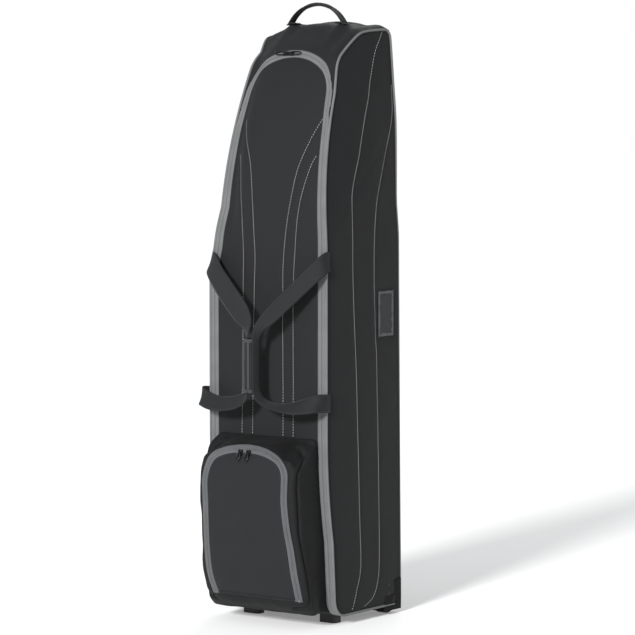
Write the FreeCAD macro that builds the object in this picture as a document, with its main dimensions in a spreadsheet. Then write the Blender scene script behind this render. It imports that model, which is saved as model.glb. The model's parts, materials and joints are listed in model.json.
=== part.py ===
"""Golf travel case: a tall soft case on two wheels, built as separate pieces.

Frame: millimetres, +Z up, +Y towards the wheels and back panel, -Y towards the zipped front,
+X towards the side panel with the identity window. The origin is the centre of the foot print.
"""
import FreeCAD
import Part
import math
import os
import Sketcher
from FreeCAD import Placement, Rotation, Vector

doc = FreeCAD.newDocument("GolfTravelCase")
sheet = doc.addObject("Spreadsheet::Sheet", "Sizes")
nodes = []

# ---------------------------------------------------------------- driving dimensions
SIZES = [
    ("half_width", 152.0, "half of the width over the side panels"),
    ("wall", 3.0, "thickness of padded fabric with its lining"),
    ("front", 95.0, "distance of the front face ahead of the origin"),
    ("floor_gap", 22.0, "height of the base above the ground"),
    ("lean_start", 813.0, "height where the front starts to lean back"),
    ("lean_radius", 805.0, "radius of the leaning front"),
    ("back_low", 177.0, "distance of the back panel behind the origin, at the base"),
    ("back_high", 158.5, "distance of the back panel behind the origin, at the top line"),
    ("top_line", 1300.0, "height that every profile is drawn up to before it is trimmed"),
    ("crown", 1262.0, "height of the top panel on the centre line"),
    ("crown_radius", 328.0, "radius of the domed top across the case"),
    ("brow", 1206.0, "height where the sloping brow meets the front zip"),
    ("brow_place", 7.0, "distance of that point behind the origin"),
    ("brow_slope", 0.74, "rise of the brow for each millimetre backwards"),
    ("brow_radius", 490.0, "radius of the brow across the case"),
    ("taper", 0.085, "narrowing of each side for each millimetre of height above the crease"),
    ("crease_slope", 0.96, "rise of the side crease for each millimetre backwards"),
    ("belly", 400.0, "height where the front starts to draw back towards the base"),
    ("belly_radius", 1163.0, "radius of the front below that height"),
    ("belly_low", 180.0, "height where the drawn-back front runs straight again"),
    ("heel", 60.0, "height where the front rounds under to the flat base"),
    ("heel_place", 66.0, "distance of the front ahead of the origin at the heel"),
    ("heel_radius", 36.0, "radius of the rounded edge under the heel"),
    ("toe_place", 36.0, "distance of the flat base's front edge ahead of the origin"),
    ("piping", 5.0, "thickness of the corded edge"),
    ("tape", 11.0, "width of one half of the main zip"),
    ("zip_gap", 1.5, "gap between the two halves of a zip"),
    ("fold", 820.0, "height of the fold line of the front door"),
    ("slider_height", 1194.0, "height of the main zip's sliders"),
    ("running_gap", 0.3, "clearance of parts that move past each other"),
    ("shoulder", 1111.0, "height where the zip starts to round over"),
    ("shoulder_half", 124.5, "half of the width over the zip at that height"),
    ("pocket_top", 387.0, "height of the pocket's top edge"),
    ("pocket_low", 36.0, "height of the pocket's bottom edge"),
    ("pocket_half", 126.0, "half of the pocket's width where it meets the door"),
    ("pocket_deep", 175.0, "distance of the pocket's face ahead of the origin"),
    ("pocket_hinge", 66.0, "height of the pocket panel's bottom edge"),
    ("pocket_slider_height", 366.0, "height of the pocket's sliders"),
    ("pocket_brow_radius", 24.8, "rounding of the pocket's upper front edge in the side view"),
    ("pocket_brow_place", 148.21, "centre of that rounding in front of the middle of the case"),
    ("pocket_brow_height", 356.36, "height of the centre of that rounding"),
    ("pocket_tape", 9.0, "width of one half of the pocket zip"),
    ("wheel_radius", 32.0, "radius of a wheel"),
    ("wheel_wide", 24.0, "width of a wheel"),
    ("wheel_place", 151.0, "distance of the axle behind the origin"),
    ("wheel_side", 126.0, "distance of a wheel's middle from the centre line"),
    ("axle", 8.0, "diameter of the axle bolt"),
    ("axle_fit", 0.05, "radial play of the bearings on the axle"),
    ("bearing", 22.0, "outer diameter of a wheel bearing"),
    ("bearing_wide", 7.0, "width of a wheel bearing"),
    ("housing_wide", 46.0, "width of a wheel housing"),
    ("housing_deep", 64.0, "depth of a wheel housing"),
    ("housing_top", 78.0, "height of a wheel housing's top"),
    ("housing_low", 9.0, "height of a wheel housing's lower edge"),
    ("foot_side", 101.0, "distance of a foot from the centre line"),
    ("foot_place", 12.0, "distance of a foot ahead of the origin"),
    ("webbing", 38.0, "width of the carrying webbing"),
    ("weave", 2.4, "thickness of the carrying webbing"),
    ("strap_pivot", 152.0, "distance of a handle's sewn end from the centre line"),
    ("strap_front", 100.5, "distance of a handle's sewn end ahead of the origin"),
    ("grip_front", 150.0, "distance of the joined grip ahead of the origin"),
    ("grip_low", 490.0, "height of the grip's lower end"),
    ("grip_high", 603.0, "height of the grip's upper end"),
    ("loop_place", 82.0, "distance of the top handle behind the origin"),
    ("loop_half", 64.0, "half of the top handle's span"),
    ("loop_foot", 1268.0, "height of the top handle's ends"),
    ("loop_pivot", 1278.5, "height where the top handle bends"),
    ("loop_radius", 80.0, "radius of the top handle's arch"),
    ("loop_wide", 22.0, "width of the top handle's webbing"),
]


def fill_sheet():
    """Write each driving dimension as a plain number with an alias and a note."""
    for row, (alias, value, note) in enumerate(SIZES, start=1):
        sheet.set(f"A{row}", note)
        sheet.set(f"B{row}", str(value))
        sheet.setAlias(f"B{row}", alias)
    doc.recompute()


def number(text):
    """The value of an expression over the sheet, in millimetres."""
    result = sheet.evalExpression(text)
    return float(getattr(result, "Value", result))


def sized(text):
    """The same expression with each alias read from the sheet."""
    words = str(text)
    for alias in ALIASES:
        words = words.replace(f"[{alias}]", f"Sizes.{alias}")
    return words


ALIASES = [alias for alias, _value, _note in SIZES]

# ---------------------------------------------------------------- drawing helpers
PLANES = {
    "XY": Rotation(),
    "XZ": Rotation(Vector(1, 0, 0), 90),
    "YZ": Rotation(Vector(1, 1, 1), 120),
}


def fix_point(sketch, index, end, across, up):
    """Hold one end of a line or arc at a place given by two expressions."""
    for kind, text, axis in (("DistanceX", across, -2), ("DistanceY", up, -1)):
        place = number(sized(text))
        if abs(place) < 1e-9:
            sketch.addConstraint(Sketcher.Constraint("PointOnObject", index, end, axis))
            continue
        spot = sketch.addConstraint(Sketcher.Constraint(kind, index, end, place))
        sketch.setExpression(f"Constraints[{spot}]", sized(text))


def arc_between(first, last, radius, left):
    """The short arc of a radius between two points, with its centre left or right of the way."""
    middle = (first + last) * 0.5
    along = last - first
    reach = math.sqrt(max(radius ** 2 - along.Length ** 2 / 4, 0.0))
    side = Vector(-along.y, along.x, 0).normalize()
    centre = middle + side * (reach if left else -reach)
    start, stop = (first, last) if left else (last, first)
    angles = [math.atan2(point.y - centre.y, point.x - centre.x) for point in (start, stop)]
    return Part.ArcOfCircle(Part.Circle(centre, Vector(0, 0, 1), radius), angles[0], angles[1])


def outline(name, plane, corners, lift=None):
    """A closed sketch. A corner is (across, up), or (across, up, radius, side) where an arc of
    that radius runs on to the next corner with its centre to the left or right of the way."""
    sketch = doc.addObject("Sketcher::SketchObject", name)
    sketch.Placement = Placement(Vector(0, 0, 0), PLANES[plane])
    if lift is not None:
        axis = {"XY": "z", "XZ": "y", "YZ": "x"}[plane]
        sketch.setExpression(f"Placement.Base.{axis}", sized(lift))
    points = [Vector(number(sized(corner[0])), number(sized(corner[1])), 0) for corner in corners]
    ends = []
    for index, corner in enumerate(corners):
        following = points[(index + 1) % len(points)]
        if len(corner) == 2:
            sketch.addGeometry(Part.LineSegment(points[index], following), False)
            ends.append((1, 2))
            continue
        radius = number(sized(corner[2]))
        left = corner[3] == "left"
        sketch.addGeometry(arc_between(points[index], following, radius, left), False)
        ends.append((1, 2) if left else (2, 1))
    for index, corner in enumerate(corners):
        after = (index + 1) % len(corners)
        joined = Sketcher.Constraint("Coincident", index, ends[index][1], after, ends[after][0])
        sketch.addConstraint(joined)
        fix_point(sketch, index, ends[index][0], corner[0], corner[1])
        if len(corner) == 4:
            radius = number(sized(corner[2]))
            spot = sketch.addConstraint(Sketcher.Constraint("Radius", index, radius))
            sketch.setExpression(f"Constraints[{spot}]", sized(corner[2]))
    return sketch


def prism(name, sketch, length, direction=None, centred=False):
    """A solid drawn out of a sketch, along its normal or along a given direction."""
    solid = doc.addObject("Part::Extrusion", name)
    solid.Base = sketch
    solid.Solid = True
    solid.Symmetric = centred
    if direction is None:
        solid.DirMode = "Normal"
    else:
        solid.DirMode = "Custom"
        for axis, text in zip("xyz", direction):
            solid.setExpression(f"Dir.{axis}", sized(text))
    solid.setExpression("LengthFwd", sized(length))
    return solid


def place(item, spot):
    """Bind the position of an object to three expressions."""
    for axis, text in zip("xyz", spot):
        item.setExpression(f"Placement.Base.{axis}", sized(text))
    return item


def block(name, low, high):
    """A box between two opposite corners, each given by three expressions."""
    item = doc.addObject("Part::Box", name)
    place(item, low)
    for side, first, last in zip(("Length", "Width", "Height"), low, high):
        item.setExpression(side, sized(f"({last}) - ({first})"))
    return item


def rod(name, start, radius, length, axis="x"):
    """A cylinder that starts at a point and runs along X, Y or Z."""
    item = doc.addObject("Part::Cylinder", name)
    turns = {"x": Rotation(Vector(0, 1, 0), 90), "y": Rotation(Vector(1, 0, 0), -90)}
    item.Placement = Placement(Vector(0, 0, 0), turns.get(axis, Rotation()))
    place(item, start)
    item.setExpression("Radius", sized(radius))
    item.setExpression("Height", sized(length))
    return item


def common(name, *items):
    """What several solids share."""
    item = doc.addObject("Part::MultiCommon", name)
    item.Shapes = list(items)
    return item


def fused(name, *items):
    """Several solids as one."""
    item = doc.addObject("Part::MultiFuse", name)
    item.Shapes = list(items)
    return item


def without(name, base, *tools):
    """A solid with others taken away."""
    for index, tool in enumerate(tools):
        item = doc.addObject("Part::Cut", name if index == len(tools) - 1 else f"{name}_{index}")
        item.Base = base
        item.Tool = tool
        base = item
    return base


def mirrored(name, source):
    """The same piece on the other side of the centre line."""
    item = doc.addObject("Part::Mirroring", name)
    item.Source = source
    item.Base = Vector(0, 0, 0)
    item.Normal = Vector(1, 0, 0)
    return item


def together(name, *items):
    """Separate solids that share one node."""
    item = doc.addObject("Part::Compound", name)
    item.Links = list(items)
    return item


def node(label, item):
    """Register a finished sub-part under the name of its file."""
    item.Label = label
    nodes.append(item)
    return item


# ---------------------------------------------------------------- the envelope of the case
# Every shell piece is cut out of one envelope, drawn at different insets. The envelope is what
# four long prisms share: the side view, the domed top, the sloping brow and the tapered sides.
DRAWN_FROM = "-200"
SIDE_RUN = "640"


def crease_height(at):
    """Height of the crease of the side panels at a distance behind the origin."""
    return f"([lean_start] + [crease_slope] * (({at}) + [front]))"


def belly_at(inset):
    """Distance along Y of the front where its lower curve ends, at an inset."""
    reach = f"sqrt(([belly_radius] - ({inset})) ^ 2 - ([belly] - [belly_low]) ^ 2)"
    return f"-[front] + [belly_radius] - {reach}"


def side_view(name, inset):
    """The side view: a front that draws back low down and leans back above, a straight back
    panel and a flat base."""
    rise = f"([top_line] - [lean_start])"
    reach = f"sqrt(([lean_radius] - ({inset})) ^ 2 - {rise} ^ 2)"
    lean_top = f"-[front] + [lean_radius] - {reach}"
    corners = [
        ("-[toe_place]", f"[floor_gap] + ({inset})"),
        (f"[back_low] - ({inset})", f"[floor_gap] + ({inset})"),
        (f"[back_high] - ({inset})", "[top_line]"),
        (lean_top, "[top_line]", f"[lean_radius] - ({inset})", "left"),
        (f"-[front] + ({inset})", "[lean_start]"),
        (f"-[front] + ({inset})", "[belly]", f"[belly_radius] - ({inset})", "left"),
        (belly_at(inset), "[belly_low]"),
        (f"-[heel_place] + ({inset})", "[heel]", f"[heel_radius] - ({inset})", "left"),
    ]
    return prism(name, outline(f"{name}_outline", "YZ", corners), "400", centred=True)


def dome(name, crown, radius, slope):
    """A long prism under an arch that rises backwards with a slope."""
    drop = f"({radius}) - sqrt(({radius}) ^ 2 - 170 ^ 2)"
    edge = f"({crown}) - ({drop})"
    corners = [
        ("170", "-900"),
        ("170", edge, radius, "left"),
        ("-170", edge),
        ("-170", "-900"),
    ]
    sketch = outline(f"{name}_outline", "XZ", corners, DRAWN_FROM)
    return prism(name, sketch, SIDE_RUN, ("0", "1", slope))


def envelope(name, inset):
    """The whole outer form without its sides, drawn in by an inset."""
    brow = f"[brow] - 1.25 * ({inset}) + [brow_slope] * ({DRAWN_FROM} - [brow_place])"
    top = dome(f"{name}_top", f"[crown] - ({inset})", f"[crown_radius] - ({inset})", "0")
    front_top = dome(f"{name}_brow", brow, f"[brow_radius] - ({inset})", "[brow_slope]")
    return common(name, side_view(f"{name}_side", inset), top, front_top)


def between_sides(name, inset):
    """The tapered space between the two side surfaces, drawn in by an inset."""
    crease = crease_height(DRAWN_FROM)
    half = f"[half_width] - ({inset})"
    corners = [
        (f"{half}", "-600"),
        (f"{half}", crease),
        (f"{half} - 650 * [taper]", f"{crease} + 650"),
        (f"-({half}) + 650 * [taper]", f"{crease} + 650"),
        (f"-({half})", crease),
        (f"-({half})", "-600"),
    ]
    sketch = outline(f"{name}_outline", "XZ", corners, DRAWN_FROM)
    return prism(name, sketch, SIDE_RUN, ("0", "1", "[crease_slope]"))


def side_slab(name, inner, outer):
    """A sheet that follows the right side surface, between two insets."""
    crease = crease_height(DRAWN_FROM)
    corners = []
    for inset, order in ((outer, 1), (inner, -1)):
        half = f"[half_width] - ({inset})"
        line = [
            (half, "-600"),
            (half, crease),
            (f"{half} - 650 * [taper]", f"{crease} + 650"),
        ]
        corners += line[::order]
    sketch = outline(f"{name}_outline", "XZ", corners, DRAWN_FROM)
    return prism(name, sketch, SIDE_RUN, ("0", "1", "[crease_slope]"))


def door_outline(name, inset):
    """The front view of the zip line: straight legs, rounded shoulders and a low arch."""
    half = "[half_width] - [wall]"
    lean_half = "132.2"
    lean_height = "1040"
    rim = "85"
    rim_height = "1181"
    legs = [(f"{half} - ({inset})", "5"), (f"{half} - ({inset})", "[lean_start]")]
    if inset == "0":
        legs = [("[half_width] + 20", "5"), ("[half_width] + 20", lean_height)]
    right = legs + [
        (f"{lean_half} - ({inset})", lean_height),
        (f"[shoulder_half] - ({inset})", "[shoulder]", f"91 - ({inset})", "left"),
        (f"{rim} - 0.54 * ({inset})", f"{rim_height} - 0.84 * ({inset})", f"157 - ({inset})", "left"),
    ]
    left = [
        (f"-({rim} - 0.54 * ({inset}))", f"{rim_height} - 0.84 * ({inset})", f"91 - ({inset})", "left"),
        (f"-([shoulder_half] - ({inset}))", "[shoulder]"),
        (f"-({lean_half} - ({inset}))", lean_height),
    ] + [(f"-({across})", up) for across, up in legs[::-1]]
    sketch = outline(f"{name}_outline", "XZ", right + left, "60")
    return prism(name, sketch, "260")


fill_sheet()


# ---------------------------------------------------------------- wheels and their housings
def revolved(name, corners):
    """A body turned about the X axis from a closed profile of (along, out) corners."""
    body = doc.addObject("PartDesign::Body", name)
    sketch = body.newObject("Sketcher::SketchObject", f"{name}_profile")
    plane = [item for item in body.Origin.OriginFeatures if item.Role == "XY_Plane"][0]
    sketch.AttachmentSupport = [(plane, "")]
    sketch.MapMode = "FlatFace"
    points = [Vector(number(sized(across)), number(sized(up)), 0) for across, up in corners]
    for index, point in enumerate(points):
        sketch.addGeometry(Part.LineSegment(point, points[(index + 1) % len(points)]), False)
    for index, corner in enumerate(corners):
        after = (index + 1) % len(corners)
        sketch.addConstraint(Sketcher.Constraint("Coincident", index, 2, after, 1))
        fix_point(sketch, index, 1, corner[0], corner[1])
    turned = body.newObject("PartDesign::Revolution", f"{name}_turned")
    turned.Profile = sketch
    turned.ReferenceAxis = (sketch, ["H_Axis"])
    turned.Angle = 360
    return body


def wheel(side, sign):
    """One wheel on two ball bearings, centred on its axle, then set in its housing."""
    half = "[wheel_wide] / 2"
    bore = "[bearing] / 2"
    inner = "[axle] / 2 + [axle_fit]"
    rim = "[wheel_radius] - 7"
    tyre = revolved(f"tyre_{side}", [
        (f"-({half})", rim), (f"-({half})", "[wheel_radius] - 2"),
        (f"-({half}) + 3", "[wheel_radius]"), (f"{half} - 3", "[wheel_radius]"),
        (half, "[wheel_radius] - 2"), (half, rim),
    ])
    hub = revolved(f"hub_{side}", [
        (f"-({half})", bore), (f"-({half})", rim), (half, rim), (half, bore),
        (f"{half} - [bearing_wide]", bore), (f"{half} - [bearing_wide]", f"{bore} - 3"),
        (f"-({half}) + [bearing_wide]", f"{bore} - 3"), (f"-({half}) + [bearing_wide]", bore),
    ])
    rings = []
    for index, start in enumerate((f"-({half})", f"{half} - [bearing_wide]")):
        ring = revolved(f"bearing_{side}_{index}", [
            (start, inner), (start, bore),
            (f"{start} + [bearing_wide]", bore), (f"{start} + [bearing_wide]", inner),
        ])
        rings.append(ring)
    spot = (f"{sign} * [wheel_side]", "[wheel_place]", "[wheel_radius]")
    for item in [tyre, hub] + rings:
        place(item, spot)
    node(f"wheel_tyre_{side}", tyre)
    node(f"wheel_hub_{side}", hub)
    node(f"wheel_bearings_{side}", together(f"wheel_bearings_{side}", *rings))


HOUSING_IN = "[wheel_side] - [housing_wide] / 2"
HOUSING_OUT = "[wheel_side] + [housing_wide] / 2 + 5"
HOUSING_NEAR = "[back_low] + 2 - [housing_deep]"
HOUSING_FAR = "[back_low] + 2"


def housing_space(name, sign):
    """The corner of the case that a wheel housing takes up."""
    low = [HOUSING_IN, HOUSING_NEAR, "0"]
    high = [HOUSING_OUT, "[back_low] + 20", "[housing_top]"]
    if sign < 0:
        low[0], high[0] = f"-({high[0]})", f"-({low[0]})"
    return block(name, low, high)


def wheel_housing_right():
    """A moulded corner guard with a round wheel arch, open below and behind."""
    shell = block("housing_block", (HOUSING_IN, HOUSING_NEAR, "[housing_low]"),
                  (HOUSING_OUT, HOUSING_FAR, "[housing_top]"))
    rounded = doc.addObject("Part::Fillet", "housing_rounded")
    rounded.Base = shell
    doc.recompute()
    far_edges = []
    for index, edge in enumerate(shell.Shape.Edges, start=1):
        ends = [vertex.Point for vertex in edge.Vertexes]
        outer = all(point.x > number(sized(HOUSING_OUT)) - 1 for point in ends)
        upright = abs(ends[0].z - ends[1].z) > 1
        behind = all(point.y > number(sized(HOUSING_FAR)) - 1 for point in ends)
        top = all(point.z > number(sized("[housing_top]")) - 1 for point in ends)
        if (outer and upright and behind) or (top and (outer or behind)):
            far_edges.append((index, 6.0, 6.0))
    rounded.Edges = far_edges
    arch = rod("wheel_arch", ("[wheel_side] - [wheel_wide] / 2 - 3", "[wheel_place]",
                              "[wheel_radius]"), "[wheel_radius] + 4", "[wheel_wide] + 6")
    bore = rod("axle_bore", (f"{HOUSING_IN} - 5", "[wheel_place]", "[wheel_radius]"),
               "[axle] / 2", "[housing_wide] + 20")
    nut_seat = rod("nut_seat", (f"{HOUSING_OUT} - 8", "[wheel_place]", "[wheel_radius]"),
                   "8.5", "10")
    return without("housing_right", rounded, arch, bore, nut_seat)


def axle_right():
    """A bolt through the housing walls and the bearings, with its nut in the outer wall."""
    shank = rod("axle_shank", (f"{HOUSING_IN} - 0.01", "[wheel_place]", "[wheel_radius]"),
                "[axle] / 2", "[housing_wide] + 3")
    head = rod("axle_head", (f"{HOUSING_IN} - 5", "[wheel_place]", "[wheel_radius]"), "6.5", "5")
    bolt = fused("axle_bolt_right", shank, head)
    nut_body = rod("nut_body", (f"{HOUSING_OUT} - 8", "[wheel_place]", "[wheel_radius]"),
                   "6.5", "6")
    nut = without("axle_nut_right", nut_body, shank)
    return bolt, nut


def wheels_and_housings():
    """Both wheels, corner guards, axles, nuts and the screws that hold the guards."""
    for side, sign in (("right", 1), ("left", -1)):
        wheel(side, sign)
    right = node("wheel_housing_right", wheel_housing_right())
    node("wheel_housing_left", mirrored("housing_left", right))
    bolt, nut = axle_right()
    node("axle_bolts", together("axle_bolts", bolt, mirrored("axle_bolt_left", bolt)))
    node("axle_nuts", together("axle_nuts", nut, mirrored("axle_nut_left", nut)))
    screws = []
    for index, height in enumerate(("48", "66")):
        screw = rod(f"housing_screw_{index}", (HOUSING_OUT, f"{HOUSING_NEAR} + 12", height),
                    "3.5", "1.6")
        screws += [screw, mirrored(f"housing_screw_left_{index}", screw)]
    node("housing_screws", together("housing_screws", *screws))


# ---------------------------------------------------------------- the fabric shell
def fabric_shell():
    """Side panels, back panel, top gusset, the front with its zip, and the corded edges."""
    spaces = [housing_space("space_right", 1), housing_space("space_left", -1)]
    outer = envelope("outer", "0")
    inner = envelope("inner", "[wall]")
    core = between_sides("core", "[wall]")
    sheath = without("sheath", common("trimmed_outer", outer, core), inner)

    trimmed = envelope("side_limit", "[piping] / 2 - 0.5")
    slab = side_slab("side_sheet", "[wall]", "0")
    right = without("right_side", common("right_side_whole", slab, trimmed), spaces[0])
    node("right_side_panel", right)
    node("left_side_panel", mirrored("left_side", right))

    swollen = envelope("cord_limit", "-[piping] / 2 - 0.5")
    cord_slab = side_slab("cord_sheet", "[wall]", "-2")
    cord_ring = without("cord_ring", common("cord_whole", cord_slab, swollen), trimmed)
    cord = without("right_cord", cord_ring, spaces[0])
    node("right_piping", cord)
    node("left_piping", mirrored("left_cord", cord))

    behind = side_view_strip_back()
    back = without("back", common("back_whole", sheath, behind), *spaces)
    node("back_panel", back)

    face = front_strip()
    skin = common("front_skin", sheath, face)
    zip_outer = door_outline("zip_outer", "0")
    zip_middle_out = door_outline("zip_middle_out", "[tape]")
    zip_middle_in = door_outline("zip_middle_in", "[tape] + [zip_gap]")
    door_edge = door_outline("door_edge", "2 * [tape] + [zip_gap]")
    tape_band = without("tape_band", common("skin_in_zip", skin, zip_outer), zip_middle_out)
    node("main_zip_tape_outer", tape_band)

    inner_band = without("inner_band", common("skin_in_middle", skin, zip_middle_in), door_edge)
    door = common("door_whole", skin, door_edge)
    below = block("below_fold", ("-200", "-200", "0"), ("200", "100", "[fold] - [running_gap]"))
    above = block("above_fold", ("-200", "-200", "[fold] + [running_gap]"), ("200", "100", "1400"))
    node("main_zip_tape_lower", common("tape_lower", inner_band, below))
    node("main_zip_tape_upper", common("tape_upper", inner_band, above))
    node("front_door_lower", common("door_lower", door, below))
    node("front_door_upper", common("door_upper", door, above))

    high = block("above_shoulder", ("-200", "-200", "1040"), ("200", "300", "1400"))
    top = without("gusset", common("gusset_whole", sheath, high), behind,
                  common("front_of_gusset", face, zip_outer))
    return node("top_gusset", top)


def side_view_strip_back():
    """The zone of the back panel: a strip along the sloping back, up to the domed top."""
    lean = "([back_low] - [back_high]) / ([top_line] - [floor_gap])"
    high = "[crown] - 28"
    inner_high = f"[back_high] - [wall] + {lean} * ([top_line] - ({high}))"
    corners = [
        ("[back_low] - [wall]", "[floor_gap]"),
        ("[back_low] + 5", "[floor_gap]"),
        ("[back_low] + 5", high),
        (inner_high, high),
    ]
    return prism("back_zone", outline("back_zone_outline", "YZ", corners), "400", centred=True)


def front_strip():
    """The zone of the front: a strip along the rounded heel, the face and its leaning part."""
    rise = "([brow] + 2 - [lean_start])"
    outer_reach = f"sqrt(([lean_radius] + 4) ^ 2 - {rise} ^ 2)"
    inner_reach = f"sqrt(([lean_radius] - [wall]) ^ 2 - {rise} ^ 2)"
    corners = [
        ("-[toe_place]", "[floor_gap] + [wall]", "[heel_radius] - [wall]", "right"),
        ("-[heel_place] + [wall]", "[heel]"),
        (belly_at("[wall]"), "[belly_low]", "[belly_radius] - [wall]", "right"),
        ("-[front] + [wall]", "[belly]"),
        ("-[front] + [wall]", "[lean_start]", "[lean_radius] - [wall]", "right"),
        (f"-[front] + [lean_radius] - {inner_reach}", "[brow] + 2"),
        (f"-[front] + [lean_radius] - {outer_reach}", "[brow] + 2", "[lean_radius] + 4", "left"),
        ("-[front] - 4", "[lean_start]"),
        ("-[front] - 4", "[floor_gap] - 8"),
        ("-[toe_place]", "[floor_gap] - 8"),
    ]
    return prism("front_zone", outline("front_zone_outline", "YZ", corners), "400", centred=True)


# ---------------------------------------------------------------- base, boards and padding
def base_and_boards():
    """The moulded tray, the board on its floor, the back board, the head pad and the feet."""
    spaces = []
    for sign in (1, -1):
        low = [f"{HOUSING_IN} - 6", f"{HOUSING_NEAR}", "0"]
        high = [HOUSING_OUT, "[back_low] + 20", "[housing_top] + 6"]
        if sign < 0:
            low[0], high[0] = f"-({high[0]})", f"-({low[0]})"
        spaces.append(block(f"tray_corner_{sign + 1}", low, high))
    screws = foot_screws()
    half = "[half_width] - [wall]"
    tray_low = (f"-({half})", "-[toe_place] + [running_gap]", "[floor_gap]")
    tray_high = (half, "[back_low] - [wall] - 1", "62")
    tray_block = block("tray_block", tray_low, tray_high)
    room = block("tray_room", (f"-({half}) + 3", "-[toe_place] + 3", "[floor_gap] + 3"),
                 (f"{half} - 3", "[back_low] - [wall] - 4", "80"))
    shanks = screws["shanks"]
    node("base_tray", without("tray", tray_block, room, *spaces, *shanks))
    board = block("board_block", (f"-({half}) + 5", "-[toe_place] + 5", "[floor_gap] + 3"),
                  (f"{half} - 5", "[back_low] - [wall] - 6", "[floor_gap] + 6"))
    node("base_board", without("board", board, *spaces, *shanks))
    node("back_board", leaning_sheet("back_sheet", "[wall]", "[wall] + 3", "88", "1150", "128"))
    node("head_padding", leaning_sheet("pad_sheet", "[wall] + 3", "[wall] + 15", "880", "1140", "118"))
    feet = []
    for index, foot in enumerate(foot_blocks()):
        feet.append(without(f"foot_{index}", foot, shanks[index], screws["wells"][index]))
    node("front_feet", together("front_feet", *feet))
    node("foot_screws", together("foot_screws", *screws["screws"]))


def back_line(height, inset):
    """Distance behind the origin of a sheet that lies inside the back panel."""
    lean = "([back_low] - [back_high]) / ([top_line] - [floor_gap])"
    return f"[back_low] - {lean} * (({height}) - [floor_gap]) - ({inset})"


def leaning_sheet(name, near, deep, low, high, half):
    """A flat sheet parallel to the back panel, between two insets and two heights."""
    corners = [
        (back_line(low, deep), low),
        (back_line(low, near), low),
        (back_line(high, near), high),
        (back_line(high, deep), high),
    ]
    return prism(name, outline(f"{name}_outline", "YZ", corners), f"2 * ({half})", centred=True)


def foot_blocks():
    """Two rubber feet, each a body with a tapered pad and rounded corners."""
    blocks = []
    for sign in (1, -1):
        body = doc.addObject("PartDesign::Body", f"foot_body_{sign + 1}")
        sketch = body.newObject("Sketcher::SketchObject", f"foot_sketch_{sign + 1}")
        plane = [item for item in body.Origin.OriginFeatures if item.Role == "XY_Plane"][0]
        sketch.AttachmentSupport = [(plane, "")]
        sketch.MapMode = "FlatFace"
        spots = [("-22", "-13"), ("22", "-13"), ("22", "13"), ("-22", "13")]
        points = [Vector(float(across), float(up), 0) for across, up in spots]
        for index, point in enumerate(points):
            sketch.addGeometry(Part.LineSegment(point, points[(index + 1) % 4]), False)
        for index, (across, up) in enumerate(spots):
            sketch.addConstraint(Sketcher.Constraint("Coincident", index, 2, (index + 1) % 4, 1))
            fix_point(sketch, index, 1, across, up)
        pad = body.newObject("PartDesign::Pad", f"foot_pad_{sign + 1}")
        pad.Profile = sketch
        pad.setExpression("Length", sized("[floor_gap]"))
        doc.recompute()
        corners = []
        for index, edge in enumerate(pad.Shape.Edges, start=1):
            ends = [vertex.Point for vertex in edge.Vertexes]
            if abs(ends[0].z - ends[1].z) > 1:
                corners.append(f"Edge{index}")
        rounded = body.newObject("PartDesign::Fillet", f"foot_round_{sign + 1}")
        rounded.Base = (pad, corners)
        rounded.Radius = 8
        blocks.append(place(body, (f"{sign} * [foot_side]", "-[foot_place]", "0")))
    return blocks


def foot_screws():
    """A screw up through each foot, the tray and the base board, with the well for its head."""
    made = {"shanks": [], "wells": [], "screws": []}
    for sign in (1, -1):
        spot = (f"{sign} * [foot_side]", "-[foot_place]")
        shank = rod(f"foot_shank_{sign + 1}", (*spot, "9"), "2", "[floor_gap] - 3", "z")
        head = rod(f"foot_head_{sign + 1}", (*spot, "6"), "4", "3", "z")
        well = rod(f"foot_well_{sign + 1}", (*spot, "-1"), "4", "10", "z")
        made["shanks"].append(shank)
        made["wells"].append(well)
        made["screws"].append(fused(f"foot_screw_{sign + 1}", shank, head))
    return made


# ---------------------------------------------------------------- inner straps with buckles
def inner_straps():
    """Two straps across the back board that hold the clubs, each with a side release buckle."""
    anchored = []
    sockets = []
    for name, low in (("lower", 430), ("upper", 690)):
        high = str(low + 25)
        face = back_line(high, "[wall] + 3.4")
        buckle_low = str(low - 4)
        buckle_high = str(low + 29)
        buckle_face = back_line(buckle_high, "[wall] + 3.4")
        anchored.append(block(f"anchored_{name}", ("-126", f"{face} - 1.6", str(low)),
                              ("-30", face, high)))
        shell = block(f"socket_{name}", ("-30", f"{buckle_face} - 8", buckle_low),
                      ("0", buckle_face, buckle_high))
        cavity = block(f"cavity_{name}", ("-20", f"{buckle_face} - 6.2", str(low + 1)),
                       ("5", f"{buckle_face} - 1.8", str(low + 24)))
        sockets.append(without(f"socket_shell_{name}", shell, cavity))
        plate = block(f"plug_plate_{name}", ("0.4", f"{buckle_face} - 8", buckle_low),
                      ("14", buckle_face, buckle_high))
        prongs = []
        for index, start in enumerate((low + 2, low + 10, low + 18)):
            prongs.append(block(f"prong_{name}_{index}", ("-18", f"{buckle_face} - 5.4", str(start)),
                                ("1", f"{buckle_face} - 2.6", str(start + 5))))
        node(f"buckle_plug_{name}", fused(f"plug_{name}", plate, *prongs))
        node(f"strap_tail_{name}", block(f"tail_{name}", ("14", f"{face} - 1.6", str(low)),
                                         ("104", face, high)))
    node("inner_straps", together("inner_straps", *anchored))
    node("buckle_sockets", together("buckle_sockets", *sockets))


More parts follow.
